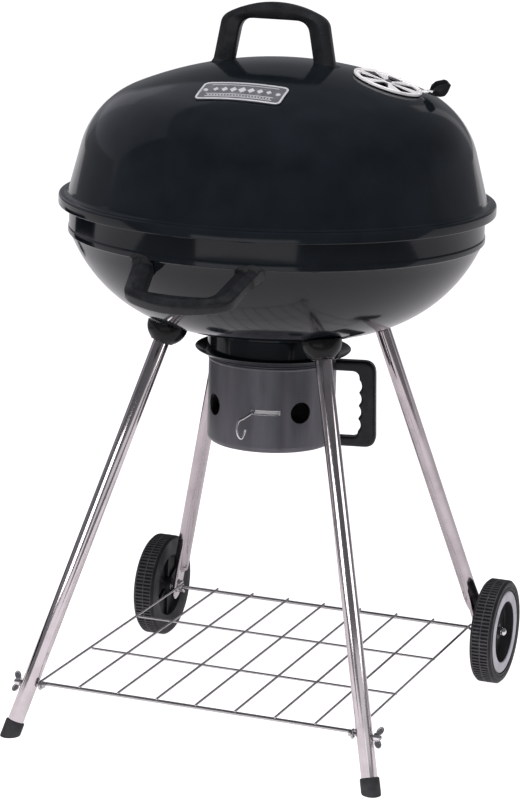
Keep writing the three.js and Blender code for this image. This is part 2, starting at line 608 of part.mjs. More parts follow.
// The wire lever: headed inside the ring, out through the slot, then down to a hooked finger pull.
function damperLever() {
  const z = POT_SLOT.height;
  const head = rod(polar(83, LEVER_ANGLE, z), polar(85.2, LEVER_ANGLE, z), 3.6, 8);
  const out = vec(Math.cos(LEVER_ANGLE), Math.sin(LEVER_ANGLE), 0);
  const side = vec(-out.y, out.x, 0).negate();
  const at = (reach, across, drop) =>
    out.clone().multiplyScalar(reach).addScaledVector(side, across).add(vec(0, 0, z - drop));
  const path = [
    at(84, 0, 0), at(93, 0, 0), at(98, 3, 2), at(102, 10, 7), at(105, 16, 11), at(107, 17.5, 19),
    at(108, 15, 30), at(107, 11, 34), at(105, 8, 28), at(104, 6.5, 21),
  ];
  return join(head, bentWire(path, 1.8, 14, 5));
}

// ---- Handles -----------------------------------------------------------------------------------
const ARCH = { foot: 87, shoulder: 75.5, shoulderHeight: 63, height: 84.5, depth: 24, root: -16 };
const ARCH_OPENING = { foot: 58.5, shoulder: 50, shoulderHeight: 46, flat: 30, height: 61.5 };

// The moulded arch handle shared by the lid and the bowl: feet at local z = 0, arch along X.
function archHandle() {
  const { foot, shoulder, shoulderHeight, height, root, depth } = ARCH;
  const rise = height - shoulderHeight;
  const topRadius = (shoulder ** 2 + rise ** 2) / (2 * rise);
  const sweep = Math.asin(shoulder / topRadius);
  const flare = ((foot - shoulder) * -root) / shoulderHeight;
  const opening = ARCH_OPENING;
  const openingFlare = ((opening.foot - opening.shoulder) * -root) / opening.shoulderHeight;
  const outline = new THREE.Shape();
  outline.moveTo(-opening.foot - openingFlare, root);
  outline.lineTo(-opening.shoulder, opening.shoulderHeight);
  outline.quadraticCurveTo(-opening.shoulder + 3, opening.height, -opening.flat, opening.height);
  outline.lineTo(opening.flat, opening.height);
  outline.quadraticCurveTo(opening.shoulder - 3, opening.height, opening.shoulder, opening.shoulderHeight);
  outline.lineTo(opening.foot + openingFlare, root);
  outline.lineTo(foot + flare, root);
  outline.lineTo(shoulder, shoulderHeight);
  outline.absarc(0, height - topRadius, topRadius, Math.PI / 2 - sweep, Math.PI / 2 + sweep, false);
  outline.lineTo(-foot - flare, root);
  return plate(outline, -depth / 2, depth / 2, 5, 5).rotateX(Math.PI / 2);
}

const LID_HANDLE = { shift: -10, boltSpan: 73, base: 914 };
const handleBore = (x) => rod(vec(x, 0, -20), vec(x, 0, 22), 2.7, 10);

function lidHandle() {
  const bores = [-1, 1].map((side) => handleBore(side * LID_HANDLE.boltSpan));
  const arch = cut(archHandle(), ...bores).translate(LID_HANDLE.shift, 0, LID_HANDLE.base);
  return cut(arch, lidBlank);
}

function bowlHandle() {
  const bores = [-1, 1].map((side) => handleBore(side * SIDE_HANDLE.boltSpan));
  return cut(cut(archHandle(), ...bores).applyMatrix4(sideHandleFrame), bowlBlank);
}

const POT_GRIP = { top: 509, bottom: 387.5, reach: 148, arm: 14.5, inner: 122.5, cusp: 3, depth: 20 };

// The pot's D-shaped handle: two arms and a grip with four finger hollows.
function potHandle() {
  const { top, bottom, reach, arm, inner, cusp, depth } = POT_GRIP;
  const root = POT.radius - 4;
  const outline = new THREE.Shape();
  outline.moveTo(root, top);
  outline.lineTo(reach - 20, top);
  outline.quadraticCurveTo(reach - 3, top, reach - 3, top - 20);
  outline.lineTo(reach, bottom + 16);
  outline.quadraticCurveTo(reach, bottom, reach - 16, bottom);
  outline.lineTo(root, bottom);
  outline.lineTo(root, bottom + arm - 1);
  const [low, high] = [bottom + arm - 1, top - arm];
  outline.lineTo(inner - 8, low);
  outline.quadraticCurveTo(inner, low, inner, low + 8);
  const hollows = 4;
  const pitch = (high - low - 20) / hollows;
  for (let i = 0; i < hollows; i += 1) {
    const start = low + 8 + i * pitch;
    const end = start + pitch;
    const landing = i === hollows - 1 ? inner + 1 : inner;
    outline.quadraticCurveTo(inner + 1.6 * cusp, (start + end) / 2, landing, end);
  }
  outline.quadraticCurveTo(inner, high, inner - 11, high);
  outline.lineTo(root, high);
  const body = plate(outline, -depth / 2, depth / 2, 4.5, 3).rotateX(Math.PI / 2).rotateZ(POT_HANDLE_ANGLE);
  const potBlank = rod(vec(0, 0, 370), vec(0, 0, 530), POT.radius + GAP, KETTLE_SIDES);
  const bores = POT_HANDLE_BOLTS.map((z) =>
    rod(polar(80, POT_HANDLE_ANGLE, z), polar(104, POT_HANDLE_ANGLE, z), 2.6, 10));
  return cut(body, potBlank, ...bores);
}

function potHandleBolt(z) {
  const out = polar(1, POT_HANDLE_ANGLE, 0);
  const seat = polar(z > POT_VENT.height ? 86.8 : 85, POT_HANDLE_ANGLE, z);
  return bolt({ head: 4.5, headHeight: 2.6, shank: 2.3, length: 16 }).applyMatrix4(frameAt(seat, out, UP));
}

// ---- Lid ---------------------------------------------------------------------------------------
const VENT = { reach: 151, radius: 48.5, windows: 6, inner: 11, outer: 39, halfAngle: 14 * DEGREE };
const TAB_ANGLE = 29 * DEGREE;
const NAMEPLATE = { reach: 165.5, width: 118, height: 50, thickness: 2.4, gap: 0.6, rivetSpan: 50 };

// A frame on the lid's crown, at a distance from the axis and an azimuth, whose Z leaves the surface.
function crownFrame(reach, azimuth) {
  const tip = Math.asin(reach / LID_CROWN);
  const out = polar(Math.sin(tip), azimuth, Math.cos(tip));
  return frameAt(polar(reach, azimuth, lidHeight(reach)), out, polar(1, azimuth, 0));
}

const ventFrame = crownFrame(VENT.reach, 0);
const nameplateFrame = crownFrame(NAMEPLATE.reach, -Math.PI / 2);

function ventWindows(low, high) {
  const windows = [];
  for (let i = 0; i < VENT.windows; i += 1) {
    const middle = ((i + 0.5) * 2 * Math.PI) / VENT.windows;
    const window = new THREE.Shape();
    window.absarc(0, 0, VENT.outer, middle - VENT.halfAngle, middle + VENT.halfAngle, false);
    window.absarc(0, 0, VENT.inner, middle + VENT.halfAngle, middle - VENT.halfAngle, true);
    windows.push(plate(window, low, high, 0, 1));
  }
  return windows;
}

function lidShell() {
  const outer = [
    ...lidOutline(0).slice(1).reverse(), [287.9, 735.3], [290, 734.8], [299.2, 734.6], [FLANGE_RADIUS, 733.2],
    [FLANGE_RADIUS, 720.4], [FLANGE_RADIUS - 0.7, 719.5], [299.1, 720.4],
  ];
  const inner = [[299.1, RIM_HEIGHT + GAP], [286.6, RIM_HEIGHT + GAP], ...lidOutline(STEEL).slice(1)];
  const shell = revolve([...outer, ...inner], KETTLE_SIDES);
  const tools = ventWindows(-9, 9).map((tool) => tool.applyMatrix4(ventFrame));
  tools.push(rod(vec(0, 0, -9), vec(0, 0, 9), 2.7, 10).applyMatrix4(ventFrame));
  for (const side of [-1, 1]) {
    const x = LID_HANDLE.shift + side * LID_HANDLE.boltSpan;
    tools.push(rod(vec(x, 0, 895), vec(x, 0, 925), 2.7, 10));
    tools.push(rod(vec(0, side * NAMEPLATE.rivetSpan, -9), vec(0, side * NAMEPLATE.rivetSpan, 9), 2, 8)
      .applyMatrix4(nameplateFrame));
  }
  return cut(shell, ...tools);
}

function lidHandleBolt(side) {
  const x = LID_HANDLE.shift + side * LID_HANDLE.boltSpan;
  const seat = vec(x, 0, lidHeight(Math.abs(x)) - STEEL - 2.4);
  return bolt({ head: 5.5, headHeight: 3.2, shank: 2.4, length: 20 }).applyMatrix4(frameAt(seat, UP));
}

function bowlHandleBolt(side) {
  const seat = vec(side * SIDE_HANDLE.boltSpan, 0, -9).applyMatrix4(sideHandleFrame);
  const screw = bolt({ head: 5.5, headHeight: 3.2, shank: 2.4, length: 27 });
  return screw.applyMatrix4(frameAt(seat, sideHandleOut));
}

// The nameplate is bent to the lid: a flat box wrapped round the crown's sphere.
function nameplate() {
  const { width, height, thickness, gap, rivetSpan } = NAMEPLATE;
  const box = new THREE.BoxGeometry(height, width, thickness, 4, 8, 1);
  const place = box.getAttribute('position');
  for (let i = 0; i < place.count; i += 1) {
    const radius = LID_CROWN + gap + thickness / 2 + place.getZ(i);
    const [a, b] = [place.getX(i) / LID_CROWN, place.getY(i) / LID_CROWN];
    const bent = vec(Math.sin(a) * Math.cos(b), Math.sin(b), Math.cos(a) * Math.cos(b)).multiplyScalar(radius);
    place.setXYZ(i, bent.x, bent.y, bent.z - LID_CROWN);
  }
  const holes = [-1, 1].map((side) => rod(vec(0, side * rivetSpan, -9), vec(0, side * rivetSpan, 9), 2, 8));
  return cut(box, ...holes).applyMatrix4(nameplateFrame);
}

function nameplateRivet(side) {
  const sag = LID_CROWN - Math.sqrt(LID_CROWN ** 2 - NAMEPLATE.rivetSpan ** 2);
  const to = NAMEPLATE.gap + NAMEPLATE.thickness - sag + 0.8;
  const ends = { head: 3.6, headHeight: 1.8, tail: 3.2, tailHeight: 1.4 };
  const pin = rivet({ ...ends, shank: 1.7, from: -sag - 3.4, to });
  return pin.translate(0, side * NAMEPLATE.rivetSpan, 0).applyMatrix4(nameplateFrame);
}

// ---- Lid vent ----------------------------------------------------------------------------------
function ventDisc() {
  const edge = VENT.radius;
  const rim = [[edge - 1, -1.2], [edge, -0.6], [edge, 2], [edge - 2, 3], [edge - 4.2, 1.9]];
  const disc = revolve([[2.7, 0.5], [edge - 3.5, 0.5], ...rim, [2.7, 1.9]], 20);
  const neckLine = polygon([
    [43.5, 0.8], [52, 0.8], [58, 3], [66, 4], [66, 5.2], [57.4, 4.4], [51.4, 2.2], [43.5, 2.2],
  ]);
  const neck = plate(neckLine, -6, 6).rotateX(Math.PI / 2).rotateZ(TAB_ANGLE);
  return cut(join(disc, neck), ...ventWindows(-3, 6)).applyMatrix4(ventFrame);
}

// The moulded tab that slides over the disc's neck and curls upwards.
function ventTab() {
  const side = polygon([
    [56.5, 1.6], [64, 1.2], [74, 3.5], [80.5, 11], [82, 22], [78, 24], [74.5, 15], [68, 9], [58, 7.5],
  ]);
  const body = plate(side, -12, 12, 1).rotateX(Math.PI / 2);
  const slot = new THREE.BoxGeometry(14, 12.6, 4).translate(60, 0, 4);
  return cut(body, slot).rotateZ(TAB_ANGLE).applyMatrix4(ventFrame);
}

function ventRivet() {
  const size = { head: 6, headHeight: 2.4, shank: 2.3, from: -3.2, to: 2.3, tail: 4.4, tailHeight: 1.5 };
  return rivet(size).applyMatrix4(ventFrame);
}

// ---- Assembly ----------------------------------------------------------------------------------
function addBase() {
  add('bowl_shell', 'enamel', bowlShell());
  add('bowl_handle', 'plastic', bowlHandle());
  add('bowl_handle_bolt_left', 'steel', bowlHandleBolt(-1));
  add('bowl_handle_bolt_right', 'steel', bowlHandleBolt(1));
  GRATE_TABS.forEach((angle, i) => add(`grate_tab_${i + 1}`, 'steel', grateTab(angle)));
  for (const [sx, sy, where] of corners) {
    add(`leg_hub_${where}`, 'plastic', legHub(sx, sy));
    add(`hub_bolt_${where}`, 'steel', hubBolt(sx, sy));
    add(`leg_${where}`, 'chrome', sy < 0 ? frontLeg(sx) : rearLeg(sx));
  }
  for (const [sx, where] of [[1, 'right'], [-1, 'left']]) {
    add(`foot_cap_${where}`, 'plastic', footCap(sx));
    add(`rack_bolt_${where}`, 'steel', rackBolt(sx));
    add(`wing_nut_${where}`, 'steel', wingNut(sx));
    add(`axle_bolt_${where}`, 'steel', axleBolt(sx));
    add(`axle_washer_${where}`, 'steel', axleWasher(sx));
    add(`acorn_nut_${where}`, 'chrome', acornNut(sx));
    add(`wheel_${where}`, 'tyre', wheel(sx));
    add(`wheel_trim_${where}`, 'silver', wheelTrim(sx));
  }
  add('wire_rack', 'chrome', wireRack());
  add('ash_collar', 'enamel', ashCollar());
  COLLAR_RIVETS.forEach((angle, i) => add(`collar_rivet_${i + 1}`, 'steel', collarRivet(angle)));
}

function addInside() {
  add('charcoal_grate', 'steel', grate(COALS));
  add('cooking_grate', 'chrome', grate(COOKING));
}

function addAshPot() {
  add('ash_pot', 'pot', ashPot());
  add('pot_handle', 'plastic', potHandle());
  add('pot_handle_bolt_lower', 'steel', potHandleBolt(POT_HANDLE_BOLTS[0]));
  add('pot_handle_bolt_upper', 'steel', potHandleBolt(POT_HANDLE_BOLTS[1]));
  add('damper_ring', 'steel', damperRing());
  add('damper_lever', 'chrome', damperLever());
}

function addLid() {
  const lid = new THREE.Group();
  lid.rotation.z = LID_TURN;
  grill.add(lid);
  add('lid_shell', 'enamel', lidShell(), lid);
  add('lid_handle', 'plastic', lidHandle(), lid);
  add('lid_handle_bolt_left', 'steel', lidHandleBolt(-1), lid);
  add('lid_handle_bolt_right', 'steel', lidHandleBolt(1), lid);
  add('nameplate', 'silver', nameplate(), lid);
  add('nameplate_rivet_left', 'silver', nameplateRivet(-1), lid);
  add('nameplate_rivet_right', 'silver', nameplateRivet(1), lid);
  add('vent_disc', 'chrome', ventDisc(), lid);
  add('vent_tab', 'plastic', ventTab(), lid);
  add('vent_rivet', 'steel', ventRivet(), lid);
}

addBase();
addInside();
addAshPot();
addLid();

const overall = new THREE.Box3().setFromObject(grill, true);
grill.position.y = -(overall.min.y + overall.max.y) / 2;

export default grill;
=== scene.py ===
"""A kettle charcoal grill: smooth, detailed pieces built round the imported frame.

Shapes are drawn in millimetres about the kettle's upright axis, with the floor at z = 0. KETTLE
turns them into the frame's metres, and ON_LID also gives them the lid's slight turn.
"""

from math import acos, asin, atan, atan2, ceil, cos, hypot, pi, radians, sin, sqrt, tan

import bmesh
import bpy
from mathutils import Matrix, Vector


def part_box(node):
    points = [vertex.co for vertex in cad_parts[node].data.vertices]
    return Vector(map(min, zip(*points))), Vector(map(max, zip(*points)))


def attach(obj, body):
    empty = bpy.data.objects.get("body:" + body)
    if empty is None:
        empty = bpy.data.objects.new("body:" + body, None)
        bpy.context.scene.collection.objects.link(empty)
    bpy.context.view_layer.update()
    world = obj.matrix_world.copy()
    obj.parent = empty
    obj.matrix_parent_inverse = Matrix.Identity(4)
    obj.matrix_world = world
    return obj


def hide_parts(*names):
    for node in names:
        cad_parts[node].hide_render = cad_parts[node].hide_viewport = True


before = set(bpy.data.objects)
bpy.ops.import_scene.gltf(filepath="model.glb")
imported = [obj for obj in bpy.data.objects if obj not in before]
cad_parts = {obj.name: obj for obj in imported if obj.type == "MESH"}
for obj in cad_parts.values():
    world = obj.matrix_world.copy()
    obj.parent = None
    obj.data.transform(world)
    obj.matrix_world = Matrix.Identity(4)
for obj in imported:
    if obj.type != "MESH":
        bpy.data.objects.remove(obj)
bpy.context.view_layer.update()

# ---- Driving dimensions, in millimetres --------------------------------------------------------
INCH = 25.4
GAP = 0.3
STEEL = 1.6
THIN_STEEL = 1.2
FINE = 160  # segments round the kettle
ROUND = 48  # segments round tubes and small turned pieces

RIM_RADIUS = 22.5 * INCH / 2
RIM_HEIGHT = 733
WHEEL_RADIUS = 3 * INCH
LEG_RADIUS = 11.1
LEG_SPLAY = (0.27, 0.297)
HUB_HEIGHT = 562
HUB_OFFSET = (111.8, 112.9)
LID = {"base": 288.5, "level": 733, "lean": radians(14.6), "straight": 69.2, "shoulder": 121.8,
       "rise": 189.2}
BOWL = {"base": 284.6, "level": 682, "lean": radians(25.1), "straight": 13.9, "shoulder": 203.4,
        "rise": 143}
FLANGE_RADIUS = 300.6
BEAD_RADIUS = 287
BOWL_MOUTH = 76

pot_low, pot_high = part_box("ash_pot")
AXIS_Y = (pot_low.y + pot_high.y) / 2
KETTLE = Matrix.Translation((0, AXIS_Y, 0)) @ Matrix.Scale(0.001, 4)
ON_LID = KETTLE @ Matrix.Rotation(radians(3), 4, "Z")
UP = Vector((0, 0, 1))
SIDES = ((1, "right"), (-1, "left"))
CORNERS = ((1, -1, "front_right"), (-1, -1, "front_left"), (1, 1, "rear_right"), (-1, 1, "rear_left"))


# ---- Shapes ------------------------------------------------------------------------------------
class Shape:
    """Points and faces that are gathered before they become one mesh."""

    def __init__(self, points=(), faces=()):
        self.points = [Vector(point) for point in points]
        self.faces = [tuple(face) for face in faces]

    def add(self, *others):
        for other in others:
            start = len(self.points)
            self.points += other.points
            self.faces += [tuple(start + i for i in face) for face in other.faces]
        return self

    def placed(self, matrix):
        return Shape([matrix @ point for point in self.points], self.faces)

    def bent(self, move):
        return Shape([move(point) for point in self.points], self.faces)


def spaced(start, end, steps):
    """Evenly spaced values from start to end."""
    return [start + (end - start) * k / steps for k in range(steps + 1)]


def round_angles(count):
    """The angles that divide a full turn into equal parts."""
    return [2 * pi * k / count for k in range(count)]


def polar(radius, angle, height=0.0):
    return Vector((radius * cos(angle), radius * sin(angle), height))


def oval(half_width, half_height, sides):
    return [(half_width * cos(a), half_height * sin(a)) for a in round_angles(sides)]


def circle(radius, sides=12):
    return oval(radius, radius, sides)


def moved(x, y, z):
    return Matrix.Translation((x, y, z))


def turned(angle, axis="Z"):
    return Matrix.Rotation(angle, 4, axis)


def ease(t):
    """Goes smoothly from 0 to 1 as t does."""
    t = min(1.0, max(0.0, t))
    return t * t * (3 - 2 * t)


def loft(rings, caps=True, loop=False):
    """Faces between rings of points. The end rings are capped, or the last one meets the first."""
    count = len(rings[0])
    shape = Shape([point for ring in rings for point in ring])
    for i in range(len(rings) if loop else len(rings) - 1):
        a, b = i * count, (i + 1) % len(rings) * count
        for k in range(count):
            n = (k + 1) % count
            shape.faces.append((a + k, a + n, b + n, b + k))
    if caps and not loop:
        last = (len(rings) - 1) * count
        shape.faces.append(tuple(reversed(range(count))))
        shape.faces.append(tuple(range(last, last + count)))
    return shape


def rounded(corners, steps=4, loop=True):
    """An outline whose (x, y, radius) corners are arcs. Corners with no radius stay sharp."""
    points = []
    for i, corner in enumerate(corners):
        here = Vector(corner[:2])
        inner = loop or 0 < i < len(corners) - 1
        if len(corner) < 3 or not corner[2] or not inner:
            points.append(here)
            continue
        before = Vector(corners[i - 1][:2]) - here
        after = Vector(corners[(i + 1) % len(corners)][:2]) - here
        half = before.angle(after) / 2
        reach = min(corner[2] / tan(half), 0.49 * before.length, 0.49 * after.length)
        radius = reach * tan(half)
        centre = here + (before.normalized() + after.normalized()).normalized() * (radius / sin(half))
        start = here + before.normalized() * reach - centre
        swing = start.angle_signed(here + after.normalized() * reach - centre)
        points += [centre + Matrix.Rotation(-swing * k / steps, 2) @ start for k in range(steps + 1)]
    return [(p.x, p.y) for p in points]


def lathe(outline, sides=ROUND, loop=True):
    """Turns an outline of (radius, height) about Z: a closed one, or one that ends on the axis."""
    rings = [[polar(radius, a, height) for a in round_angles(sides)] for radius, height in outline]
    return loft(rings, caps=False, loop=loop)


def frame_at(origin, direction, side=(1, 0, 0)):
    """A frame at a point whose Z looks along a direction, with X as near to side as it can be."""
    z = Vector(direction).normalized()
    side = Vector(side)
    if abs(z.dot(side.normalized())) > 0.99:
        side = Vector((-side.z, side.x, side.y))
    x = (side - z * side.dot(z)).normalized()
    turn = Matrix((x, z.cross(x), z)).transposed().to_4x4()
    return moved(*origin) @ turn


def sweep(path, section, loop=False, side=None):
    """Carries a section along a path without twist: points (x, y), or a function that gives a station's."""
    path = [Vector(point) for point in path]
    last = len(path) - 1
    tangents = []
    for i in range(len(path)):
        before = path[i - 1] if i or loop else path[0]
        after = path[(i + 1) % len(path)] if i < last or loop else path[last]
        tangents.append((after - before).normalized())
    across = Vector(side) if side else tangents[0].orthogonal()
    rings = []
    for i, point in enumerate(path):
        across = (across - tangents[i] * across.dot(tangents[i])).normalized()
        up = tangents[i].cross(across)
        corners = section(i) if callable(section) else section
        rings.append([point + across * x + up * y for x, y in corners])
    return loft(rings, loop=loop)


def smooth_path(points, steps=8):
    """A Catmull-Rom curve through the points."""
    points = [Vector(point) for point in points]
    ends = [2 * points[0] - points[1], *points, 2 * points[-1] - points[-2]]
    path = []
    for i in range(1, len(ends) - 2):
        a, b, c, d = ends[i - 1:i + 3]
        for k in range(steps):
            t = k / steps
            path.append(0.5 * (2 * b + (c - a) * t + (2 * a - 5 * b + 4 * c - d) * t * t
                               + (3 * b - a - 3 * c + d) * t ** 3))
    return path + [points[-1]]


def wire(path, radius, sides=12):
    """A round wire whose ends are slightly rounded."""
    path = [Vector(point) for point in path]
    first, last = (path[1] - path[0]).normalized(), (path[-1] - path[-2]).normalized()
    step = radius * 0.35
    stations = [path[0], path[0] + first * step, *path[1:-1], path[-1] - last * step, path[-1]]
    small, full = circle(radius * 0.65, sides), circle(radius, sides)
    return sweep(stations, lambda i: small if i in (0, len(stations) - 1) else full)


def slab(outline, low, high, bevel=0.0, steps=3):
    """A flat plate with an outline of (x, y), from z = low to z = high, with rounded edges."""
    count = len(outline)
    area = sum(outline[i - 1][0] * outline[i][1] - outline[i][0] * outline[i - 1][1] for i in range(count))
    inward = []
    for i in range(count):
        before, here, after = (Vector(outline[j % count]) for j in (i - 1, i, i + 1))
        a, b = (here - before).normalized(), (after - here).normalized()
        normal = Vector((-a.y - b.y, a.x + b.x)) * (1 if area > 0 else -1)
        inward.append(normal / max(0.5, normal.dot(normal) / 2))
    rings = []
    arcs = spaced(0, pi / 2, steps) if bevel else [0]
    levels = [(bevel * (1 - sin(a)), low + bevel * (1 - cos(a))) for a in arcs]
    levels += [(inset, low + high - z) for inset, z in reversed(levels)]
    for inset, z in levels:
        rings.append([Vector((x + n.x * inset, y + n.y * inset, z)) for (x, y), n in zip(outline, inward)])
    return loft(rings)


def rod(start, end, radius, sides=ROUND, bevel=0.0):
    """A round bar between two points, with rounded edges."""
    start, end = Vector(start), Vector(end)
    length = (end - start).length
    outline = rounded([(0, 0), (radius, 0, bevel), (radius, length, bevel), (0, length)], loop=False)
    return lathe(outline, sides, loop=False).placed(frame_at(start, end - start))


# ---- Meshes ------------------------------------------------------------------------------------
def mesh_of(name, shape):
    """A clean mesh: shared points merged, faces pointing out."""
    mesh = bpy.data.meshes.new(name)
    mesh.from_pydata([tuple(point) for point in shape.points], [], shape.faces)
    body = bmesh.new()
    body.from_mesh(mesh)
    bmesh.ops.remove_doubles(body, verts=body.verts, dist=1e-4)
    bmesh.ops.dissolve_degenerate(body, edges=body.edges, dist=1e-5)
    bmesh.ops.recalc_face_normals(body, faces=body.faces)
    body.to_mesh(mesh)
    body.free()
    return mesh


def new_item(name, data):
    """A new object in the scene."""
    item = bpy.data.objects.new(name, data)
    bpy.context.scene.collection.objects.link(item)
    return item


def cut(shape, *tools):
    """The shape with the tools' shapes taken out of it."""
    tool = Shape().add(*tools)
    made = [new_item(name, mesh_of(name, part)) for name, part in (("body", shape), ("tool", tool))]
    modifier = made[0].modifiers.new("cut", "BOOLEAN")
    modifier.operation, modifier.solver, modifier.object = "DIFFERENCE", "EXACT", made[1]
    modifier.use_self = len(tools) > 1
    result = made[0].evaluated_get(bpy.context.evaluated_depsgraph_get()).to_mesh()
    left = Shape([v.co for v in result.vertices], [tuple(p.vertices) for p in result.polygons])
    for item in made:
        bpy.data.objects.remove(item)
    return left


def piece(name, shape, looks, body, nodes, place=KETTLE, sharp=38, look_of=None):
    """Makes a shape into a piece that rides on a body and stands for the CAD nodes."""
    mesh = mesh_of(name, shape)
    looks = looks if isinstance(looks, (list, tuple)) else [looks]
    for look in looks:
        mesh.materials.append(look)
    if look_of:
        for face in mesh.polygons:
            face.material_index = look_of(face.center)
    mesh.transform(place)
    mesh.shade_smooth()
    mesh.set_sharp_from_angle(angle=radians(sharp))
    item = new_item(name, mesh)
    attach(item, body)
    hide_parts(*nodes)


# ---- Materials ---------------------------------------------------------------------------------
def new_look(name, color, roughness, metallic=0.0, coat=0.0, coat_roughness=0.05, specular=0.5):
    look = bpy.data.materials.new(name)
    look.use_nodes = True
    shader = look.node_tree.nodes["Principled BSDF"]
    values = {"Base Color": (*color, 1), "Roughness": roughness, "Metallic": metallic, "Coat Weight": coat,
              "Coat Roughness": coat_roughness, "Specular IOR Level": specular}
    for socket, value in values.items():
        shader.inputs[socket].default_value = value
    return look


def shader_of(look):
    return look.node_tree.nodes["Principled BSDF"]


def noise(look, scale, detail, stretch=(1, 1, 1), direction=None):
    """A noise over the piece, in metres, drawn out by stretch along the axes of a direction's frame."""
    nodes, links = look.node_tree.nodes, look.node_tree.links
    coordinates, mapping = nodes.new("ShaderNodeTexCoord"), nodes.new("ShaderNodeMapping")
    texture = nodes.new("ShaderNodeTexNoise")
    mapping.vector_type = "TEXTURE"
    mapping.inputs["Scale"].default_value = stretch
    if direction is not None:
        mapping.inputs["Rotation"].default_value = frame_at((0, 0, 0), direction).to_euler()
    texture.inputs["Scale"].default_value = scale
    texture.inputs["Detail"].default_value = detail
    links.new(coordinates.outputs["Object"], mapping.inputs["Vector"])
    links.new(mapping.outputs["Vector"], texture.inputs["Vector"])
    return texture.outputs["Fac"]


def spread(look, factor, low, high, start=0.3, end=0.7):
    """The factor between start and end, as a value between low and high."""
    node = look.node_tree.nodes.new("ShaderNodeMapRange")
    for socket, value in (("From Min", start), ("From Max", end), ("To Min", low), ("To Max", high)):
        node.inputs[socket].default_value = value
    look.node_tree.links.new(factor, node.inputs["Value"])
    return node.outputs["Result"]


def vary_roughness(look, factor, low, high):
    look.node_tree.links.new(spread(look, factor, low, high), shader_of(look).inputs["Roughness"])


def vary_color(look, factor, low, high, start=0.3, end=0.7):
    node = look.node_tree.nodes.new("ShaderNodeMix")
    node.data_type = "RGBA"
    node.inputs["A"].default_value = (*low, 1)
    node.inputs["B"].default_value = (*high, 1)
    links = look.node_tree.links
    links.new(spread(look, factor, 0, 1, start, end), node.inputs["Factor"])
    links.new(node.outputs["Result"], shader_of(look).inputs["Base Color"])


def bump(look, height, depth, strength):
    """Raises the surface by up to depth millimetres."""
    node = look.node_tree.nodes.new("ShaderNodeBump")
    node.inputs["Distance"].default_value = depth * 0.001
    node.inputs["Strength"].default_value = strength
    links = look.node_tree.links
    links.new(height, node.inputs["Height"])
    normal = shader_of(look).inputs["Normal"]
    if normal.is_linked:
        links.new(normal.links[0].from_socket, node.inputs["Normal"])
    links.new(node.outputs["Normal"], normal)


def enamel_look():
    """Glossy black porcelain enamel: a faint orange peel, uneven gloss and specks in the glaze."""
    look = new_look("black_enamel", (0.0055, 0.0065, 0.0078), 0.1, coat=0.1, coat_roughness=0.03,
                    specular=0.34)
    vary_color(look, noise(look, 26, 5), (0.004, 0.0058, 0.0078), (0.007, 0.0095, 0.013))
    vary_roughness(look, noise(look, 9, 4), 0.08, 0.14)
    bump(look, noise(look, 190, 2), 0.05, 0.35)
    bump(look, noise(look, 1500, 2), 0.02, 0.3)
    return look


def pot_look():
    """Satin dark grey enamel with faint upright streaks."""
    look = new_look("grey_enamel", (0.12, 0.12, 0.13), 0.34, metallic=0.6, coat=0.05, coat_roughness=0.2)
    vary_color(look, noise(look, 60, 4, (1, 1, 6)), (0.095, 0.094, 0.106), (0.135, 0.133, 0.149))
    vary_roughness(look, noise(look, 120, 4, (1, 1, 8)), 0.28, 0.42)
    bump(look, noise(look, 900, 3), 0.03, 0.4)
    return look


def plastic_look(name, color, roughness, grain=1300, depth=0.06, specular=0.36):
    """Moulded black plastic with a fine grain and slightly rubbed places."""
    look = new_look(name, color, roughness, specular=specular)
    worn = tuple(channel * 1.7 + 0.002 for channel in color)
    vary_color(look, noise(look, 70, 6), color, worn, 0.42, 0.75)
    vary_roughness(look, noise(look, 45, 4), roughness - 0.06, roughness + 0.08)
    bump(look, noise(look, grain, 2), depth, 0.6)
    return look


def metal_look(name, color, roughness, direction=None, streak=30, dirt=0.82, metallic=1.0):
    """Plated or polished metal, with fine drawing lines along a direction and faint smudges."""
    look = new_look(name, color, roughness, metallic)
    stretch = (1, 1, streak) if direction is not None else (1, 1, 1)
    lines = noise(look, 1400, 3, stretch, direction)
    vary_color(look, noise(look, 35, 5), color, tuple(channel * dirt for channel in color), 0.45, 0.8)
    vary_roughness(look, noise(look, 60, 5, stretch, direction), roughness * 0.75, roughness * 1.35)
    bump(look, lines, 0.012, 0.5)
    return look


def coal_look():
    """Plain steel rod, dulled and tinted by heat."""
    look = new_look("heated_steel", (0.2, 0.18, 0.17), 0.5, metallic=0.9)
    vary_color(look, noise(look, 22, 6), (0.26, 0.25, 0.25), (0.12, 0.085, 0.065), 0.35, 0.65)
    vary_roughness(look, noise(look, 140, 4), 0.4, 0.65)
    bump(look, noise(look, 800, 4), 0.08, 0.6)
    return look


ENAMEL = enamel_look()
POT_ENAMEL = pot_look()
PLASTIC = plastic_look("black_plastic", (0.011, 0.0115, 0.013), 0.29)
HUB_PLASTIC = plastic_look("gloss_black_plastic", (0.006, 0.006, 0.0065), 0.22, 500, 0.02, 0.22)
FOOT_PLASTIC = plastic_look("foot_plastic", (0.03, 0.029, 0.032), 0.6, 900, 0.1)
WHEEL_PLASTIC = plastic_look("wheel_plastic", (0.014, 0.0137, 0.0155), 0.5, 900, 0.08)
TREAD_PLASTIC = plastic_look("tread_plastic", (0.06, 0.058, 0.063), 0.5, 700, 0.1)
WIRE = metal_look("bright_wire", (0.6, 0.58, 0.58), 0.22)
BRIGHT = metal_look("bright_plate", (0.84, 0.82, 0.83), 0.13)
VENT_PLATE = metal_look("vent_plate", (0.99, 0.96, 0.97), 0.2, dirt=0.9, metallic=0.15)
ZINC = metal_look("zinc_plate", (0.6, 0.59, 0.58), 0.3)
COAL_STEEL = coal_look()
BADGE_BRIGHT = metal_look("badge_bright", (0.8, 0.79, 0.82), 0.3, (1, 0, 0), metallic=0.4)
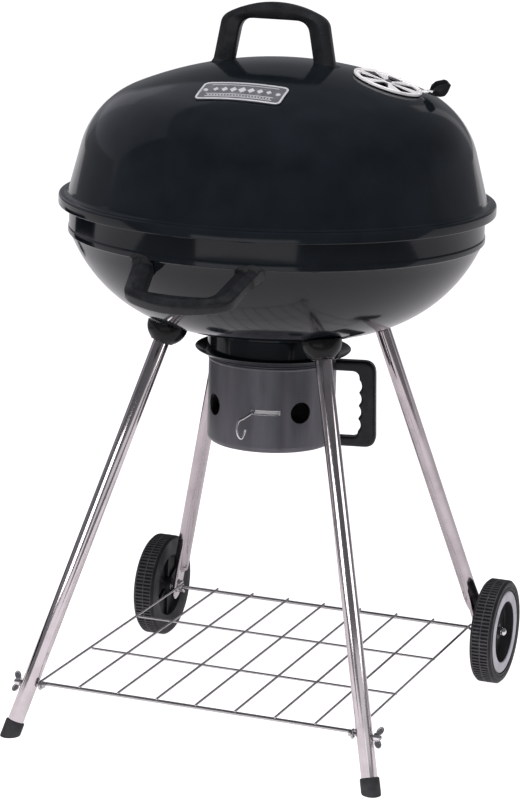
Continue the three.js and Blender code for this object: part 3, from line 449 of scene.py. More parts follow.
BADGE_FIELD = plastic_look("badge_field", (0.1, 0.1, 0.11), 0.55, 1100, 0.25)
# Bright rims round the pot's air holes and slot: partly worn bare edges, partly a painted highlight.
RIM_WEAR_AND_HIGHLIGHT = metal_look("worn_edge_and_painted_highlight", (0.75, 0.75, 0.78), 0.25)
TRIM = metal_look("trim_silver", (0.6, 0.59, 0.64), 0.4, metallic=0.55)


def fastener(name, shape, node, body="stand", place=KETTLE):
    """A small piece of zinc plated steel."""
    piece(name, shape, ZINC, body, [node], place)


# ---- The kettle's outlines ---------------------------------------------------------------------
SHOULDER_STEPS = 28
CROWN_STEPS = 26


def dome_outline(base, level, lean, straight, shoulder, rise, inset=0.0, sign=1):
    """(radius, height) from the wall's foot to the pole: a leaning wall, a shoulder arc and a crown arc."""
    shoulder_radius = base - straight * sin(lean) - shoulder * cos(lean)
    shoulder_level = straight * cos(lean) - shoulder * sin(lean)
    crown = shoulder ** 2 - shoulder_radius ** 2 - (shoulder_level - rise) ** 2
    crown /= 2 * (shoulder_level - rise + shoulder)
    wall, join = pi / 2 - lean, asin(shoulder_radius / (crown - shoulder))
    arcs = ((shoulder_radius, shoulder_level, shoulder - inset, spaced(wall, join, SHOULDER_STEPS)),
            (0, rise - crown, crown - inset, spaced(join, 0, CROWN_STEPS)[1:]))
    points = [(centre + reach * sin(a), level + sign * (middle + reach * cos(a)))
              for centre, middle, reach, angles in arcs for a in angles]
    return points, crown


def lid_outline(inset=0.0):
    return dome_outline(**LID, inset=inset)[0]


def bowl_outline(inset=0.0):
    return dome_outline(**BOWL, inset=inset, sign=-1)[0]


LID_CROWN = dome_outline(**LID)[1]
BOWL_CROWN = dome_outline(**BOWL)[1]
LID_TOP = LID["level"] + LID["rise"]
BOWL_BOTTOM = BOWL["level"] - BOWL["rise"]


def lid_height(radius):
    return LID_TOP - LID_CROWN + sqrt(LID_CROWN ** 2 - radius ** 2)


def bowl_height(radius):
    return BOWL_BOTTOM + BOWL_CROWN - sqrt(BOWL_CROWN ** 2 - radius ** 2)


def bowl_wall_radius(height):
    """The bowl's outer radius at a height on its wall or shoulder."""
    outline = [(BEAD_RADIUS, RIM_HEIGHT), (BEAD_RADIUS, 681.6), *bowl_outline()]
    for (r1, z1), (r2, z2) in zip(outline, outline[1:]):
        if z1 >= height > z2:
            return r1 + (r2 - r1) * (z1 - height) / (z1 - z2)
    return 0.0


# ---- Bowl --------------------------------------------------------------------------------------
def hub_centre(sx, sy):
    return Vector((sx * HUB_OFFSET[0], sy * HUB_OFFSET[1], HUB_HEIGHT))


def leg_down(sx, sy):
    return Vector((sx * LEG_SPLAY[0], sy * LEG_SPLAY[1], -1)).normalized()


def leg_point(sx, sy, z):
    down = leg_down(sx, sy)
    return hub_centre(sx, sy) + down * ((z - HUB_HEIGHT) / down.z)


def hub_bolt_direction(sx, sy):
    radius = hypot(*HUB_OFFSET)
    lean = asin(radius / BOWL_CROWN)
    return polar(-sin(lean), atan2(sy * HUB_OFFSET[1], sx * HUB_OFFSET[0]), cos(lean))


def bowl():
    outer = rounded([
        (284.15, RIM_HEIGHT), (291.9, RIM_HEIGHT, 1.9), (291.9, 728.8, 1.9), (RIM_RADIUS, 728.4, 1.2),
        (RIM_RADIUS, 690.8, 1.2), (BEAD_RADIUS, 688.8, 0.8), (BEAD_RADIUS, 681.9, 1.2), (284.4, 680.6, 1.5),
        bowl_outline()[0],
    ], loop=False)
    outer += [(r, z) for r, z in bowl_outline()[1:] if r > BOWL_MOUTH]
    outer += [(BOWL_MOUTH, bowl_height(BOWL_MOUTH))]
    inner = [(284.15, 690.2), (BEAD_RADIUS - STEEL, 688.6), (BEAD_RADIUS - STEEL, 682.3), (282.9, 680.8)]
    inner += [(r, z) for r, z in bowl_outline(STEEL) if r > BOWL_MOUTH]
    inner += [(BOWL_MOUTH, bowl_height(BOWL_MOUTH) + STEEL)]
    piece("bowl", lathe([*outer, *reversed(inner)], FINE), ENAMEL, "stand", ["bowl_shell"])


# ---- Lid ---------------------------------------------------------------------------------------
VENT_REACH = 151
VENT_RADIUS = 48.5
NAMEPLATE_REACH = 165.5


def crown_frame(reach, azimuth):
    """A frame on the lid's crown whose Z leaves the surface and whose X points down the slope."""
    tip = asin(reach / LID_CROWN)
    out = polar(sin(tip), azimuth, cos(tip))
    return frame_at(polar(reach, azimuth, lid_height(reach)), out, polar(1, azimuth))


VENT_FRAME = crown_frame(VENT_REACH, 0)
NAMEPLATE_FRAME = crown_frame(NAMEPLATE_REACH, -pi / 2)


def vent_windows(low, high, inner, outer, half_angle):
    """Six wedge-shaped tools that cut the vent's windows."""
    windows = []
    for i in range(6):
        middle = (i + 0.5) * pi / 3
        corners = [(*polar(r, middle + side * half_angle).xy, bend)
                   for r, side, bend in ((outer, -1, 2), (outer, -0.35, 9), (outer, 0.35, 9), (outer, 1, 2),
                                         (inner, 0.9, 1), (inner, -0.9, 1))]
        windows.append(slab(rounded(corners), low, high))
    return windows


def lid():
    wall_foot = LID["base"] - 9 * tan(LID["lean"])
    outer = list(reversed(lid_outline()[1:])) + rounded([
        lid_outline()[0], (wall_foot, LID["level"] + 9, 10), (287.6, 737, 4), (289.3, 735.2, 1.2),
        (291.2, 735.9, 0.7), (292.2, 734.9, 0.7), (FLANGE_RADIUS, 734.3, 3.6), (FLANGE_RADIUS, 720.6, 1.6),
        (FLANGE_RADIUS - 1.2, 719.6, 0.8), (298.4, 720.6, 0.6), (299, 722.5, 0.8),
    ], loop=False)
    inner = [(299, 733.2), (286.6, 733.2), *lid_outline(STEEL)]
    shell = lathe([*outer, *inner], FINE, loop=False)
    windows = [tool.placed(VENT_FRAME) for tool in vent_windows(-9, 9, 12, 38, radians(12))]
    piece("lid", cut(shell, *windows), ENAMEL, "lid", ["lid_shell"], ON_LID)


# ---- Handles -----------------------------------------------------------------------------------
def route(start, *legs):
    """A path of straight legs (end, steps) and curved ones (control, end, steps)."""
    path = [Vector(start)]
    for *through, steps in legs:
        a, c = path[-1], Vector(through[-1])
        b = Vector(through[0]) if len(through) > 1 else (a + c) / 2
        path += [a * (1 - t) ** 2 + b * 2 * t * (1 - t) + c * t * t for t in spaced(0, 1, steps)[1:]]
    return path


def handle_between(outer, inner, section):
    """A moulding that fills the strip between two lines of matching points in the XZ plane."""
    rings = []
    for a, b in zip(outer, inner):
        middle, across = (a + b) / 2, a - b
        half = across.length / 2
        across.normalize()
        rings.append([Vector((middle.x + across.x * u, y, middle.y + across.y * u))
                      for u, y in section(half, middle)])
    return loft(rings)


ARCH_HALF = 12  # half of the arch's depth


def arch_section(half, middle):
    """Two faces that meet in a soft ridge, front and back. The foot is slightly flared."""
    flare = 2.2 * max(0, 1 - max(0, middle.y + 2) / 7) ** 2
    w, d = half + flare, ARCH_HALF + flare
    return rounded([
        (w, -d + 5, 4), (w, d - 5, 4), (0.22 * w, d, 3), (-w, d - 3.5, 4), (-w, -d + 3.5, 4),
        (0.22 * w, -d, 3),
    ], 4)


def arch_handle():
    """The moulded arch that the lid and the bowl share: feet at z = 0, the arch along X."""
    foot, shoulder, shoulder_height, height, root = 87, 75.5, 63, 84.5, -16
    rise = height - shoulder_height
    top_radius = (shoulder ** 2 + rise ** 2) / (2 * rise)
    sweep_angle = asin(shoulder / top_radius)
    start = Vector((-foot - (foot - shoulder) * -root / shoulder_height, root))
    bend = Vector((-shoulder, shoulder_height))
    arm_end = bend + (start - bend).normalized() * 9
    arc = [Vector((top_radius * sin(a), height - top_radius + top_radius * cos(a)))
           for a in spaced(-sweep_angle * 6 / 7, 0, 12)]
    outer = route(start, (arm_end, 14), (bend, arc[0], 8)) + arc[1:]
    inner = route((-61.5, root), ((-50, 46), 14), ((-47, 61.5), (-30, 61.5), 8), ((0, 61.5), 12))
    for half in (outer, inner):
        half += [Vector((-p.x, p.y)) for p in reversed(half[:-1])]
    return handle_between(outer, inner, arch_section)


LID_HANDLE_X = -10
LID_HANDLE_Z = 914
BOWL_HANDLE_OUT = Vector((0, -cos(BOWL["lean"]), -sin(BOWL["lean"])))
BOWL_HANDLE_FRAME = frame_at((-8, -272, 669.5), BOWL_HANDLE_OUT)


def lid_handle():
    def rest_on_lid(point):
        radius = hypot(point.x, point.y)
        return Vector((point.x, point.y, max(point.z, lid_height(radius) + GAP)))

    shape = arch_handle().placed(moved(LID_HANDLE_X, 0, LID_HANDLE_Z)).bent(rest_on_lid)
    piece("lid_arch", shape, PLASTIC, "lid", ["lid_handle"], ON_LID)


def bowl_handle():
    def rest_on_bowl(point):
        radius = hypot(point.x, point.y)
        least = bowl_wall_radius(point.z) + GAP
        if radius >= least:
            return point
        return Vector((point.x * least / radius, point.y * least / radius, point.z))

    shape = arch_handle().placed(BOWL_HANDLE_FRAME).bent(rest_on_bowl)
    piece("bowl_arch", shape, PLASTIC, "stand", ["bowl_handle"])


POT_HANDLE_ANGLE = radians(14)


def pot_handle():
    """The D-shaped handle: two arms and a grip with four finger hollows."""
    root, top, bottom, under_top, over_bottom = 85, 509, 387.5, 494.5, 401
    grip_top, grip_bottom, cusp, hollow_depth = 482.5, 409, 122.5, 3.6
    outer = route((root, top), ((128, top), 6), ((145, top), (145, 489), 10), ((148, 403.5), 64),
                  ((148, bottom), (132, bottom), 10), ((root, bottom), 6))
    inner = route((root, under_top), ((111.5, under_top), 6), ((cusp, under_top), (cusp, grip_top), 10))
    for t in spaced(0, 1, 64)[1:]:
        hollow = abs(sin(4 * pi * t)) ** 0.8
        inner.append(Vector((cusp + hollow_depth * hollow, grip_top + (grip_bottom - grip_top) * t)))
    inner += route((cusp, grip_bottom), ((cusp, over_bottom), (114.5, over_bottom), 10),
                   ((root, over_bottom), 6))[1:]

    def section(half, middle):
        return rounded([(half, -10, 4.5), (half, 10, 4.5), (-half, 10, 3.8), (-half, -10, 3.8)], 4)

    def rest_on_pot(point):
        radius = hypot(point.x, point.y)
        scale = max(radius, POT["radius"] + GAP) / radius
        return Vector((point.x * scale, point.y * scale, point.z))

    shape = handle_between(outer, inner, section).placed(turned(POT_HANDLE_ANGLE))
    piece("pot_grip", shape.bent(rest_on_pot), PLASTIC, "ash_catcher", ["pot_handle"])


# ---- Lid vent and nameplate --------------------------------------------------------------------
TAB_ANGLE = radians(29)


def vent_disc():
    profile = rounded([
        (2.7, 0.5), (41.6, 0.5, 0.6), (43, -1.1, 0.5), (VENT_RADIUS, -1.1, 0.6), (VENT_RADIUS, 2.9, 1.2),
        (45.6, 2.9, 1.1), (45.1, 0.1, 0.3), (43.4, 0.1, 0.3), (42.8, 1.6, 0.5), (7.4, 1.6, 0.4),
        (6.8, 2, 0.3), (2.7, 2),
    ])
    neck = slab(rounded([(43.5, 0.8), (52, 0.8, 2), (58, 3, 2), (66, 4), (66, 5.2), (57.4, 4.4, 2),
                         (51.4, 2.2, 2), (43.5, 2.2)]), -6, 6, 0.3, 2)
    neck = neck.placed(turned(TAB_ANGLE) @ turned(pi / 2, "X"))
    disc = cut(lathe(profile, 96), *vent_windows(-3, 6, 8, 41, radians(17))).add(neck)
    piece("vent_wheel", disc, VENT_PLATE, "lid_vent", ["vent_disc"], ON_LID @ VENT_FRAME)


def vent_tab():
    """A curled finger tab over the disc's neck: a bent back between two tall cheeks, like a small scoop."""
    half = 11.8
    back = smooth_path([(56.5, 2.9), (66, 3.2), (73.5, 4.2), (78.2, 7.8), (79.9, 13.5), (80.6, 22.3)], 5)
    section = rounded([(-1.4, -half, 1), (-1.4, half, 1), (1.3, half, 1), (1.3, -half, 1)], 2)
    shape = sweep([(x, 0, z) for x, z in back], section, side=(0, 0, 1))
    cheek = rounded([(61, 2.4), (61.8, 11.5, 1.5), (66.5, 17.5, 2), (76.5, 22.8, 2), (81.5, 22.6, 1),
                     (80.9, 11, 4), (78.6, 5, 3.5), (72, 2.6, 2)])
    for side in (-1, 1):
        wall = slab(cheek, side * (half - 1.2) - 1.2, side * (half - 1.2) + 1.2, 0.8, 2)
        shape.add(wall.placed(turned(pi / 2, "X")))

    def narrowed(point):
        return Vector((point.x, point.y * (0.5 + 0.5 * ease((point.x - 56) / 9)), point.z))

    place = ON_LID @ VENT_FRAME @ turned(TAB_ANGLE)
    piece("vent_thumb_tab", shape.bent(narrowed), PLASTIC, "lid_vent", ["vent_tab"], place)


def round_head(radius, height, shank, low, high, tail=0.0, tail_height=1.5):
    """A domed rivet along Z, with an optional set head at its other end."""
    dome = [(radius * cos(a), high + height * sin(a)) for a in spaced(pi / 2, 0, 6)]
    outline = [*dome, (shank, high), (shank, low)]
    if tail:
        outline += [(tail, low), (tail * 0.8, low - tail_height), (0, low - tail_height)]
    else:
        outline += [(0, low)]
    return lathe(outline, 24, loop=False)


def on_crown(point):
    """Bends a flat shape over the lid's crown."""
    radius = LID_CROWN + point.z
    a, b = point.x / LID_CROWN, point.y / LID_CROWN
    return Vector((radius * sin(a) * cos(b), radius * sin(b), radius * cos(a) * cos(b) - LID_CROWN))


def nameplate():
    """A stamped plate with a raised edge and a plain row of lozenges, without any lettering."""
    half_x, half_y, corner = 25, 59, 7
    rings = []
    for y in spaced(-half_y, half_y, 48):
        over = max(0, abs(y) - half_y + corner)
        reach = half_x - corner + sqrt(max(0, corner ** 2 - over ** 2))
        row = spaced(-reach, reach, 20)
        rings.append([Vector((x, y, 2.2)) for x in row] + [Vector((x, y, 0.6)) for x in reversed(row)])
    field = loft(rings).bent(on_crown)
    place = ON_LID @ NAMEPLATE_FRAME
    piece("plate_field", field, BADGE_FIELD, "lid", ["nameplate"], place)
    outline = rounded([(half_x, -half_y, corner), (half_x, half_y, corner), (-half_x, half_y, corner),
                       (-half_x, -half_y, corner)], 8)
    edge = [Vector((x * 0.945, y * 0.976, 2.2)) for x, y in outline]
    stretched = []
    for a, b in zip(edge, edge[1:] + edge[:1]):
        count = max(1, ceil((b - a).length / 4))
        stretched += [a + (b - a) * k / count for k in range(count)]
    raised = sweep(stretched, oval(1.5, 0.9, 10), loop=True, side=(1, 0, 0))
    for i in range(-3, 4):
        size = 8.2 - 0.9 * abs(i)
        lozenge = [(-size, 0), (0, 0.7 * size), (size, 0), (0, -0.7 * size)]
        raised.add(slab(lozenge, 1.9, 3, 0.5, 2).placed(moved(-2.5, i * 12.2, 0)))
    for i in range(-10, 11):
        raised.add(round_head(1.2, 0.8, 1.2, 1.9, 2.2).placed(moved(14, i * 4.2, 0)))
    for x in (-16.5, 10.4, 17.6):
        bar = ((x - 0.6, 1.9), (x + 0.6, 1.9), (x + 0.4, 2.7), (x - 0.4, 2.7))
        raised.add(loft([[Vector((px, y, pz)) for px, pz in bar] for y in spaced(-46, 46, 12)]))
    piece("plate_relief", raised.bent(on_crown), BADGE_BRIGHT, "lid", [], place)
    rivet_y = 50
    sag = LID_CROWN - sqrt(LID_CROWN ** 2 - rivet_y ** 2)
    for side, where in SIDES:
        rivet = round_head(3.4, 1.8, 1.7, -5.5, 2.4, 3, 1.4)
        rivet = rivet.placed(moved(0, side * rivet_y, -sag))
        piece(f"plate_rivet_{where}", rivet, BADGE_BRIGHT, "lid", [f"nameplate_rivet_{where}"],
              place)


# ---- Bolts, rivets and nuts --------------------------------------------------------------------
THREAD_PITCH = 0.8


def hex_outline(radius, bend=0.5):
    return rounded([(x, y, bend) for x, y in circle(radius, 6)], 2)


def bolt(head, head_height, shank, length, thread=0.0):
    """A hex-headed bolt along Z, its head below the origin, with thread ripples over its last stretch."""
    shape = slab(hex_outline(head), -head_height, 0, 0.5, 2)
    outline = [(0, -0.5 * head_height), (shank, -0.5 * head_height), (shank, length - thread)]
    for k in range(int(thread / THREAD_PITCH)):
        z = length - thread + THREAD_PITCH * k
        outline += [(shank * 0.86, z + 0.3), (shank, z + 0.6)]
    outline += [(shank, length - 0.6), (shank - 0.6, length), (0, length)]
    return shape.add(lathe(outline, 24, loop=False))


def handle_bolts():
    for side, where in SIDES:
        x = LID_HANDLE_X + side * 73
        seat = (x, 0, lid_height(abs(x)) - STEEL - 2.4)
        screw = bolt(5.5, 3.2, 2.4, 20).placed(frame_at(seat, UP))
        fastener(f"lid_screw_{where}", screw, f"lid_handle_bolt_{where}", "lid", ON_LID)
        seat = BOWL_HANDLE_FRAME @ Vector((side * 72, 0, -9))
        screw = bolt(5.5, 3.2, 2.4, 27).placed(frame_at(seat, BOWL_HANDLE_OUT))
        fastener(f"bowl_screw_{where}", screw, f"bowl_handle_bolt_{where}")
    for where, z, seat in (("lower", 400, 85), ("upper", 502, 86.8)):
        out = polar(1, POT_HANDLE_ANGLE)
        screw = bolt(4.5, 2.6, 2.3, 16).placed(frame_at(polar(seat, POT_HANDLE_ANGLE, z), out, UP))
        fastener(f"pot_screw_{where}", screw, f"pot_handle_bolt_{where}", "ash_catcher")


def vent_rivet():
    rivet = round_head(5, 2.2, 2.3, -3.2, 2.3, 4.4, 1.5)
    piece("vent_pin", rivet, BRIGHT, "lid", ["vent_rivet"], ON_LID @ VENT_FRAME)


# ---- Grates and their tabs ---------------------------------------------------------------------
def grate(radius, height, bar, pitch, cross):
    """A ring, parallel rods across it and a bar under the rods at each side."""
    shape = sweep([polar(radius, a) for a in round_angles(120)], circle(3, 14), loop=True, side=UP)
    count = int((radius - 6) / pitch)
    for i in range(-count, count + 1):
        half = sqrt(radius ** 2 - (i * pitch) ** 2)
        shape.add(wire([(i * pitch, y, 0) for y in spaced(-half, half, 8)], bar, 10))
    for y in (-cross, cross):
        half = sqrt(radius ** 2 - y ** 2)
        shape.add(wire([(x, y, -1.5 * bar) for x in spaced(-half, half, 8)], bar, 10))
    return shape.placed(moved(0, 0, height))


def grates():
    cooking = grate(radius=278, height=712, bar=2.4, pitch=50 / 3, cross=120)
    piece("cooking_grid", cooking, WIRE, "upper_grate", ["cooking_grate"])
    coals = grate(radius=213, height=602, bar=3, pitch=20, cross=90)
    piece("charcoal_grid", coals, COAL_STEEL, "lower_grate", ["charcoal_grate"])


def grate_tabs():
    wall, shelf = 281.15, 708.7
    profile = rounded([(wall, shelf - 20), (wall, shelf, 2.5), (wall - 16, shelf), (wall - 16, shelf - 2),
                       (wall - 2, shelf - 2, 1), (wall - 2, shelf - 20)])
    for i in range(4):
        turn = turned(radians(45 + 90 * i))
        tab = slab(profile, -9, 9, 0.4, 2).placed(turn @ turned(pi / 2, "X"))
        stud = round_head(3.4, 1.4, 1.9, -2.6, 0, 3.2, 1.2)
        stud = stud.placed(turn @ frame_at((wall - 2, 0, 699), (-1, 0, 0)))
        fastener(f"grate_shelf_{i + 1}", tab.add(stud), f"grate_tab_{i + 1}")


# ---- Legs, hubs and feet -----------------------------------------------------------------------
HUB_RADIUS = 28
LEG_START = 12
RACK_BOLT = (258.43, 72)
AXLE = (250.3, WHEEL_RADIUS)
WHEEL_X = 249.5  # the wheel's inner face
HOOK = (262, 65)


def hub_against_bowl(point):
    radius = hypot(point.x, point.y)
    return Vector((point.x, point.y, min(point.z, bowl_height(min(radius, 200)) - 0.4)))


def hubs():
    """Glossy balls against the bowl, each with a lipped socket for its leg."""
    lip = acos(16.4 / HUB_RADIUS)
    outline = [(HUB_RADIUS * cos(a), HUB_RADIUS * sin(a)) for a in spaced(-pi / 2, lip, 30)]
    outline += rounded([outline[-1], (15, 24.6, 1.5), (11.9, 24.6, 1), (11.9, 11.5)], loop=False)[1:]
    outline.append((0, 11.5))
    for sx, sy, where in CORNERS:
        centre, down = hub_centre(sx, sy), leg_down(sx, sy)
        ball = lathe(outline, 64, loop=False).placed(frame_at(centre, down)).bent(hub_against_bowl)
        piece(f"hub_{where}", ball, HUB_PLASTIC, "stand", [f"leg_hub_{where}"])
        into = hub_bolt_direction(sx, sy)
        screw = bolt(6, 4, 3, 11).placed(frame_at(centre + into * (STEEL + 3), -into))
        fastener(f"hub_screw_{where}", screw, f"hub_bolt_{where}")


def tube_look(name, color, down):
    return metal_look(name, color, 0.12, down, 40)


def drill(sx, y, z, radius, sides):
    """A tool along X that drills a hole through a leg."""
    return rod((sx * 215, y, z), (sx * 275, y, z), radius, sides)


def front_legs():
    for sx, where in SIDES:
        down = leg_down(sx, -1)
        top = hub_centre(sx, -1) + down * LEG_START
        length = (leg_point(sx, -1, 6) - top).length
        wall = rounded([(LEG_RADIUS, 0, 0.4), (LEG_RADIUS, length, 0.4), (LEG_RADIUS - THIN_STEEL, length),
                        (LEG_RADIUS - THIN_STEEL, 0)], 2)
        tube = lathe(wall, ROUND).placed(frame_at(top, down))
        hole = drill(sx, -RACK_BOLT[0], RACK_BOLT[1], 3.2, 20)
        look = tube_look(f"polished_tube_{where}", (0.72, 0.66, 0.675), down)
        piece(f"front_leg_{where}", cut(tube, hole), look, "stand", [f"leg_front_{where}"])


PRESSED_HALF = 2.7  # half of the flat's thickness
PRESSED_REACH = 16  # half of its width


def rear_leg_ring(z, sides=64):
    """The pressed tube's section at a height: x across the flat's thickness, y across its width."""
    wide = ease((150 - z) / 50)
    tip = sqrt(max(0.02, 1 - (max(0.0, 68 - z) / 14.2) ** 2))
    points = []
    for c, s in circle(1, sides):
        pressed = ease((150 - 42 * (1 - abs(s)) - z) / 11)
        flat = PRESSED_HALF * (1 if c > 0 else -1) * min(1, 3.2 * abs(c))
        x = LEG_RADIUS * c * (1 - pressed) + flat * pressed
        y = (LEG_RADIUS * (1 - wide) + PRESSED_REACH * wide) * s * tip
        points.append((x, y))
    return points


def rear_legs():
    """Tubes whose lower ends are pressed flat, with a pointed crease where the flat begins."""
    heights = [HUB_HEIGHT - LEG_START, 350, 152, *(150 - 1.6 * k for k in range(36)), 88, 78]
    heights += [68 - 14 * sin(a) for a in spaced(0, pi / 2, 8)]
    for sx, where in SIDES:
        down = leg_down(sx, 1)
        top = hub_centre(sx, 1) + down * LEG_START
        rings = []
        for z in heights:
            place = frame_at(top + down * max(0, (z - top.z) / down.z), down)
            rings.append([place @ Vector((x, y, 0)) for x, y in rear_leg_ring(z)])
        holes = [drill(sx, *AXLE, 4.4, 32), drill(sx, *HOOK, 2.5, 32)]
        # The rear tubes take a darker copy of the front tubes' colour: painted shade.
        look = tube_look(f"pressed_tube_painted_shade_{where}", (0.6, 0.54, 0.555), down)
        piece(f"rear_leg_{where}", cut(loft(rings), *holes), look, "stand", [f"leg_rear_{where}"],
              sharp=30)


def foot_caps():
    """Moulded caps on the front legs, cut level with the floor."""
    for sx, where in SIDES:
        place = frame_at(leg_point(sx, -1, 0), -leg_down(sx, -1))
        axis = place.to_3x3() @ UP

        def level_ring(radius, height):
            ring = []
            for x, y in circle(radius, 64):
                base = place @ Vector((x, y, 0))
                ring.append(base + axis * ((height - base.z) / axis.z))
            return ring

        rings = [level_ring(4, 0), level_ring(11.8, 0), level_ring(12.9, 0.5), level_ring(13.2, 1.7)]
        for radius, along in ((13.2, 8), (13.2, 20.6), (12.8, 21.7), (12.2, 22), (11.9, 21.6), (11.9, 5.6),
                              (3, 5.6)):
            rings.append([place @ Vector((x, y, along)) for x, y in circle(radius, 64)])
        piece(f"foot_{where}", loft(rings), FOOT_PLASTIC, "stand", [f"foot_cap_{where}"])


# ---- Wire rack and its fasteners ---------------------------------------------------------------
RACK = {"front": -250.9, "back": 242.6, "half": 229.5, "front_z": 72, "back_z": 78}
RACK_FRAME = 2.6
RACK_WIRE = 1.7
RACK_DEPTH = RACK["back"] - RACK["front"]
EYE_X = 227.6
WING_NUT_X = 257.6


def rack_height(y):
    return RACK["front_z"] + (RACK["back_z"] - RACK["front_z"]) * (y - RACK["front"]) / RACK_DEPTH


def rack():
    shape = Shape()
    lift = RACK_FRAME + RACK_WIRE - 0.8

    def across(y, radius, drop):
        z = rack_height(y) + drop
        return wire([(x, y, z) for x in spaced(-RACK["half"], RACK["half"], 6)], radius, 14)

    for y in (RACK["front"], RACK["back"]):
        shape.add(across(y, RACK_FRAME, 0))
    for third in (1 / 3, 2 / 3):
        shape.add(across(RACK["front"] + RACK_DEPTH * third, RACK_WIRE, lift - 1.6 * RACK_WIRE))
    for x in spaced(-RACK["half"], RACK["half"], 8):
        path = [(x, y, rack_height(y) + lift) for y in spaced(RACK["front"] - 2.5, RACK["back"] + 3.5, 8)]
        shape.add(wire(path, RACK_WIRE, 14))
    for sx, _ in SIDES:
        centre = Vector((sx * EYE_X, -RACK_BOLT[0], RACK_BOLT[1]))
        eye = [centre + Vector((0, y, z)) for y, z in circle(5.4, 28)]
        shape.add(sweep(eye, circle(1.8, 12), loop=True, side=(1, 0, 0)))
        hook = [(226, RACK["back"], RACK["back_z"]), (231, 246, 74), (232.5, 256, 67), (237, *HOOK),
                (249, *HOOK)]
        shape.add(wire(smooth_path([(sx * x, y, z) for x, y, z in hook], 8), 2, 12))
    piece("rack_wires", shape, WIRE, "stand", ["wire_rack"])


def wing_nut():
    """A turned boss with two looped ears, along Z."""
    boss = lathe(rounded([(3.1, 0), (6, 0, 0.5), (4.6, 8, 0.7), (3.1, 8)], 3), 32)
    for side in (-1, 1):
        tilt = moved(side * 8.5, 0, 6.5) @ turned(side * -0.5, "Y")
        tilt = tilt @ turned(pi / 2, "X")
        ear = oval(5.7, 3.7, 36)
        boss.add(sweep([(x, y, 0) for x, y in ear], circle(1, 10), loop=True, side=UP).placed(tilt))
        boss.add(slab(ear, -0.4, 0.4).placed(tilt))
    return boss


def rack_fasteners():
    for sx, where in SIDES:
        seat = (sx * (EYE_X - 2.1), -RACK_BOLT[0], RACK_BOLT[1])
        screw = bolt(4.6, 3.5, 2.7, 42, 14).placed(frame_at(seat, (sx, 0, 0), UP))
        fastener(f"rack_screw_{where}", screw, f"rack_bolt_{where}")
        place = frame_at((sx * WING_NUT_X, -RACK_BOLT[0], RACK_BOLT[1]), (sx, 0, 0), (0, 0.5, 1))
        nut = wing_nut().placed(place)
        piece(f"wing_{where}", nut, BRIGHT, "stand", [f"wing_nut_{where}"])


# ---- Wheels ------------------------------------------------------------------------------------
WHEEL_WIDTH = 32
TREAD_RIBS = 88
TREAD_STEPS = 5  # points along each rib and its groove
GROOVE = 1.6


def wheel_frame(sx):
    return frame_at((sx * WHEEL_X, *AXLE), (sx, 0, 0), UP)


def wheel_shape():
    """A moulded wheel from its inner face at z = 0 outwards: hub, closed dish, rim and ribbed tread."""
    inner_side = rounded([(4.4, 1.5), (12, 1.5, 0.8), (12.6, 10, 1.5), (44, 10, 2), (46.4, 2, 1.2),
                          (62, 0.2, 3), (72.6, 0, 2), (75.9, 3.2, 1)], 4, loop=False)[:-1]
    half_tread = [(75.9, 3.6, 0), (76, 4.4, 0), (76, 4.9, 1), (76, 14.8, 1), (76, 15.2, 0), (76.2, 15.6, 0)]
    tread = half_tread + [(radius, WHEEL_WIDTH - z, grooved) for radius, z, grooved in reversed(half_tread)]
    face = WHEEL_WIDTH
    outer_side = rounded([(75.9, face - 3.2, 1), (72.8, face, 2), (66.6, face, 0.3), (66.3, 31.2, 0.2),
                          (65.3, 31.2, 0.2), (65, face, 0.3), (61.5, face, 0.7), (61.5, 30), (44.5, 30, 0.8),
                          (44.2, 16.4, 3), (13, 16, 2.5), (11.8, 22, 0.9), (4.4, 22)], 4, loop=False)
    stations = [(*p, 0) for p in inner_side] + tread + [(*p, 0) for p in outer_side]
    sides = TREAD_STEPS * TREAD_RIBS
    rings = []
    for radius, z, grooved in stations:
        depths = [GROOVE * grooved * (k % TREAD_STEPS in (0, 1)) for k in range(sides)]
        turns = [2 * pi * (k + 0.5) / sides for k in range(sides)]
        rings.append([polar(radius - depth, a, z) for depth, a in zip(depths, turns)])
    shape = loft(rings, loop=True)
    rib = slab(rounded([(11, 6.5), (45.5, 6), (45.5, 10.4), (11, 10.4)]), -2.2, 2.2, 0.8, 3)
    for k in range(6):
        turn = turned(pi * k / 3) @ turned(pi / 2, "X")
        shape.add(rib.placed(turn))
    return shape


def tyre_look(spot):
    """Picks the rubbed tread look for the tops of the ribs, and the plain one elsewhere."""
    middle = spot.translation.yz

    def choose(centre):
        return 1 if (centre.yz - middle).length > WHEEL_RADIUS - 0.5 else 0

    return choose


def acorn_nut():
    low = 22.4
    nut = slab(hex_outline(7, 0.8), low, low + 5, 0.6, 2)
    dome = [(6 * cos(a), low + 5.8 + 5.2 * sin(a)) for a in spaced(0, pi / 2, 8)]
    return nut.add(lathe([(0, low + 4.5), (6, low + 4.5), *dome], 32, loop=False))


def axle_bolt(sx):
    """A square-necked bolt whose head lies on the leaning flat of the leg."""
    x = leg_point(sx, 1, AXLE[1]).x - sx * 5.6
    square = rounded([(8, -8, 2), (8, 8, 2), (-8, 8, 2), (-8, -8, 2)], 4)
    head = slab(square, -2.2, 2.2, 0.7, 3).placed(turned(pi / 2, "Y"))
    head = head.placed(moved(x, *AXLE) @ turned(-sx * atan(LEG_SPLAY[0]), "Y"))
    return head.add(rod((x, *AXLE), (sx * 278.5, *AXLE), 4, 32, 0.6))


def axle_washer(sx):
    """A washer whose inner face follows the leaning flat of the leg."""
    def beside_leg(point):
        least = leg_point(1, 1, point.z).x + PRESSED_HALF * sqrt(1 + LEG_SPLAY[0] ** 2) + 0.35
        return Vector((sx * max(sx * point.x, least), point.y, point.z))

    ring = rounded([(4.4, -1), (8, -1, 0.4), (8, 1.1, 0.4), (4.4, 1.1)], 2)
    return lathe(ring, 40).placed(wheel_frame(sx)).bent(beside_leg)


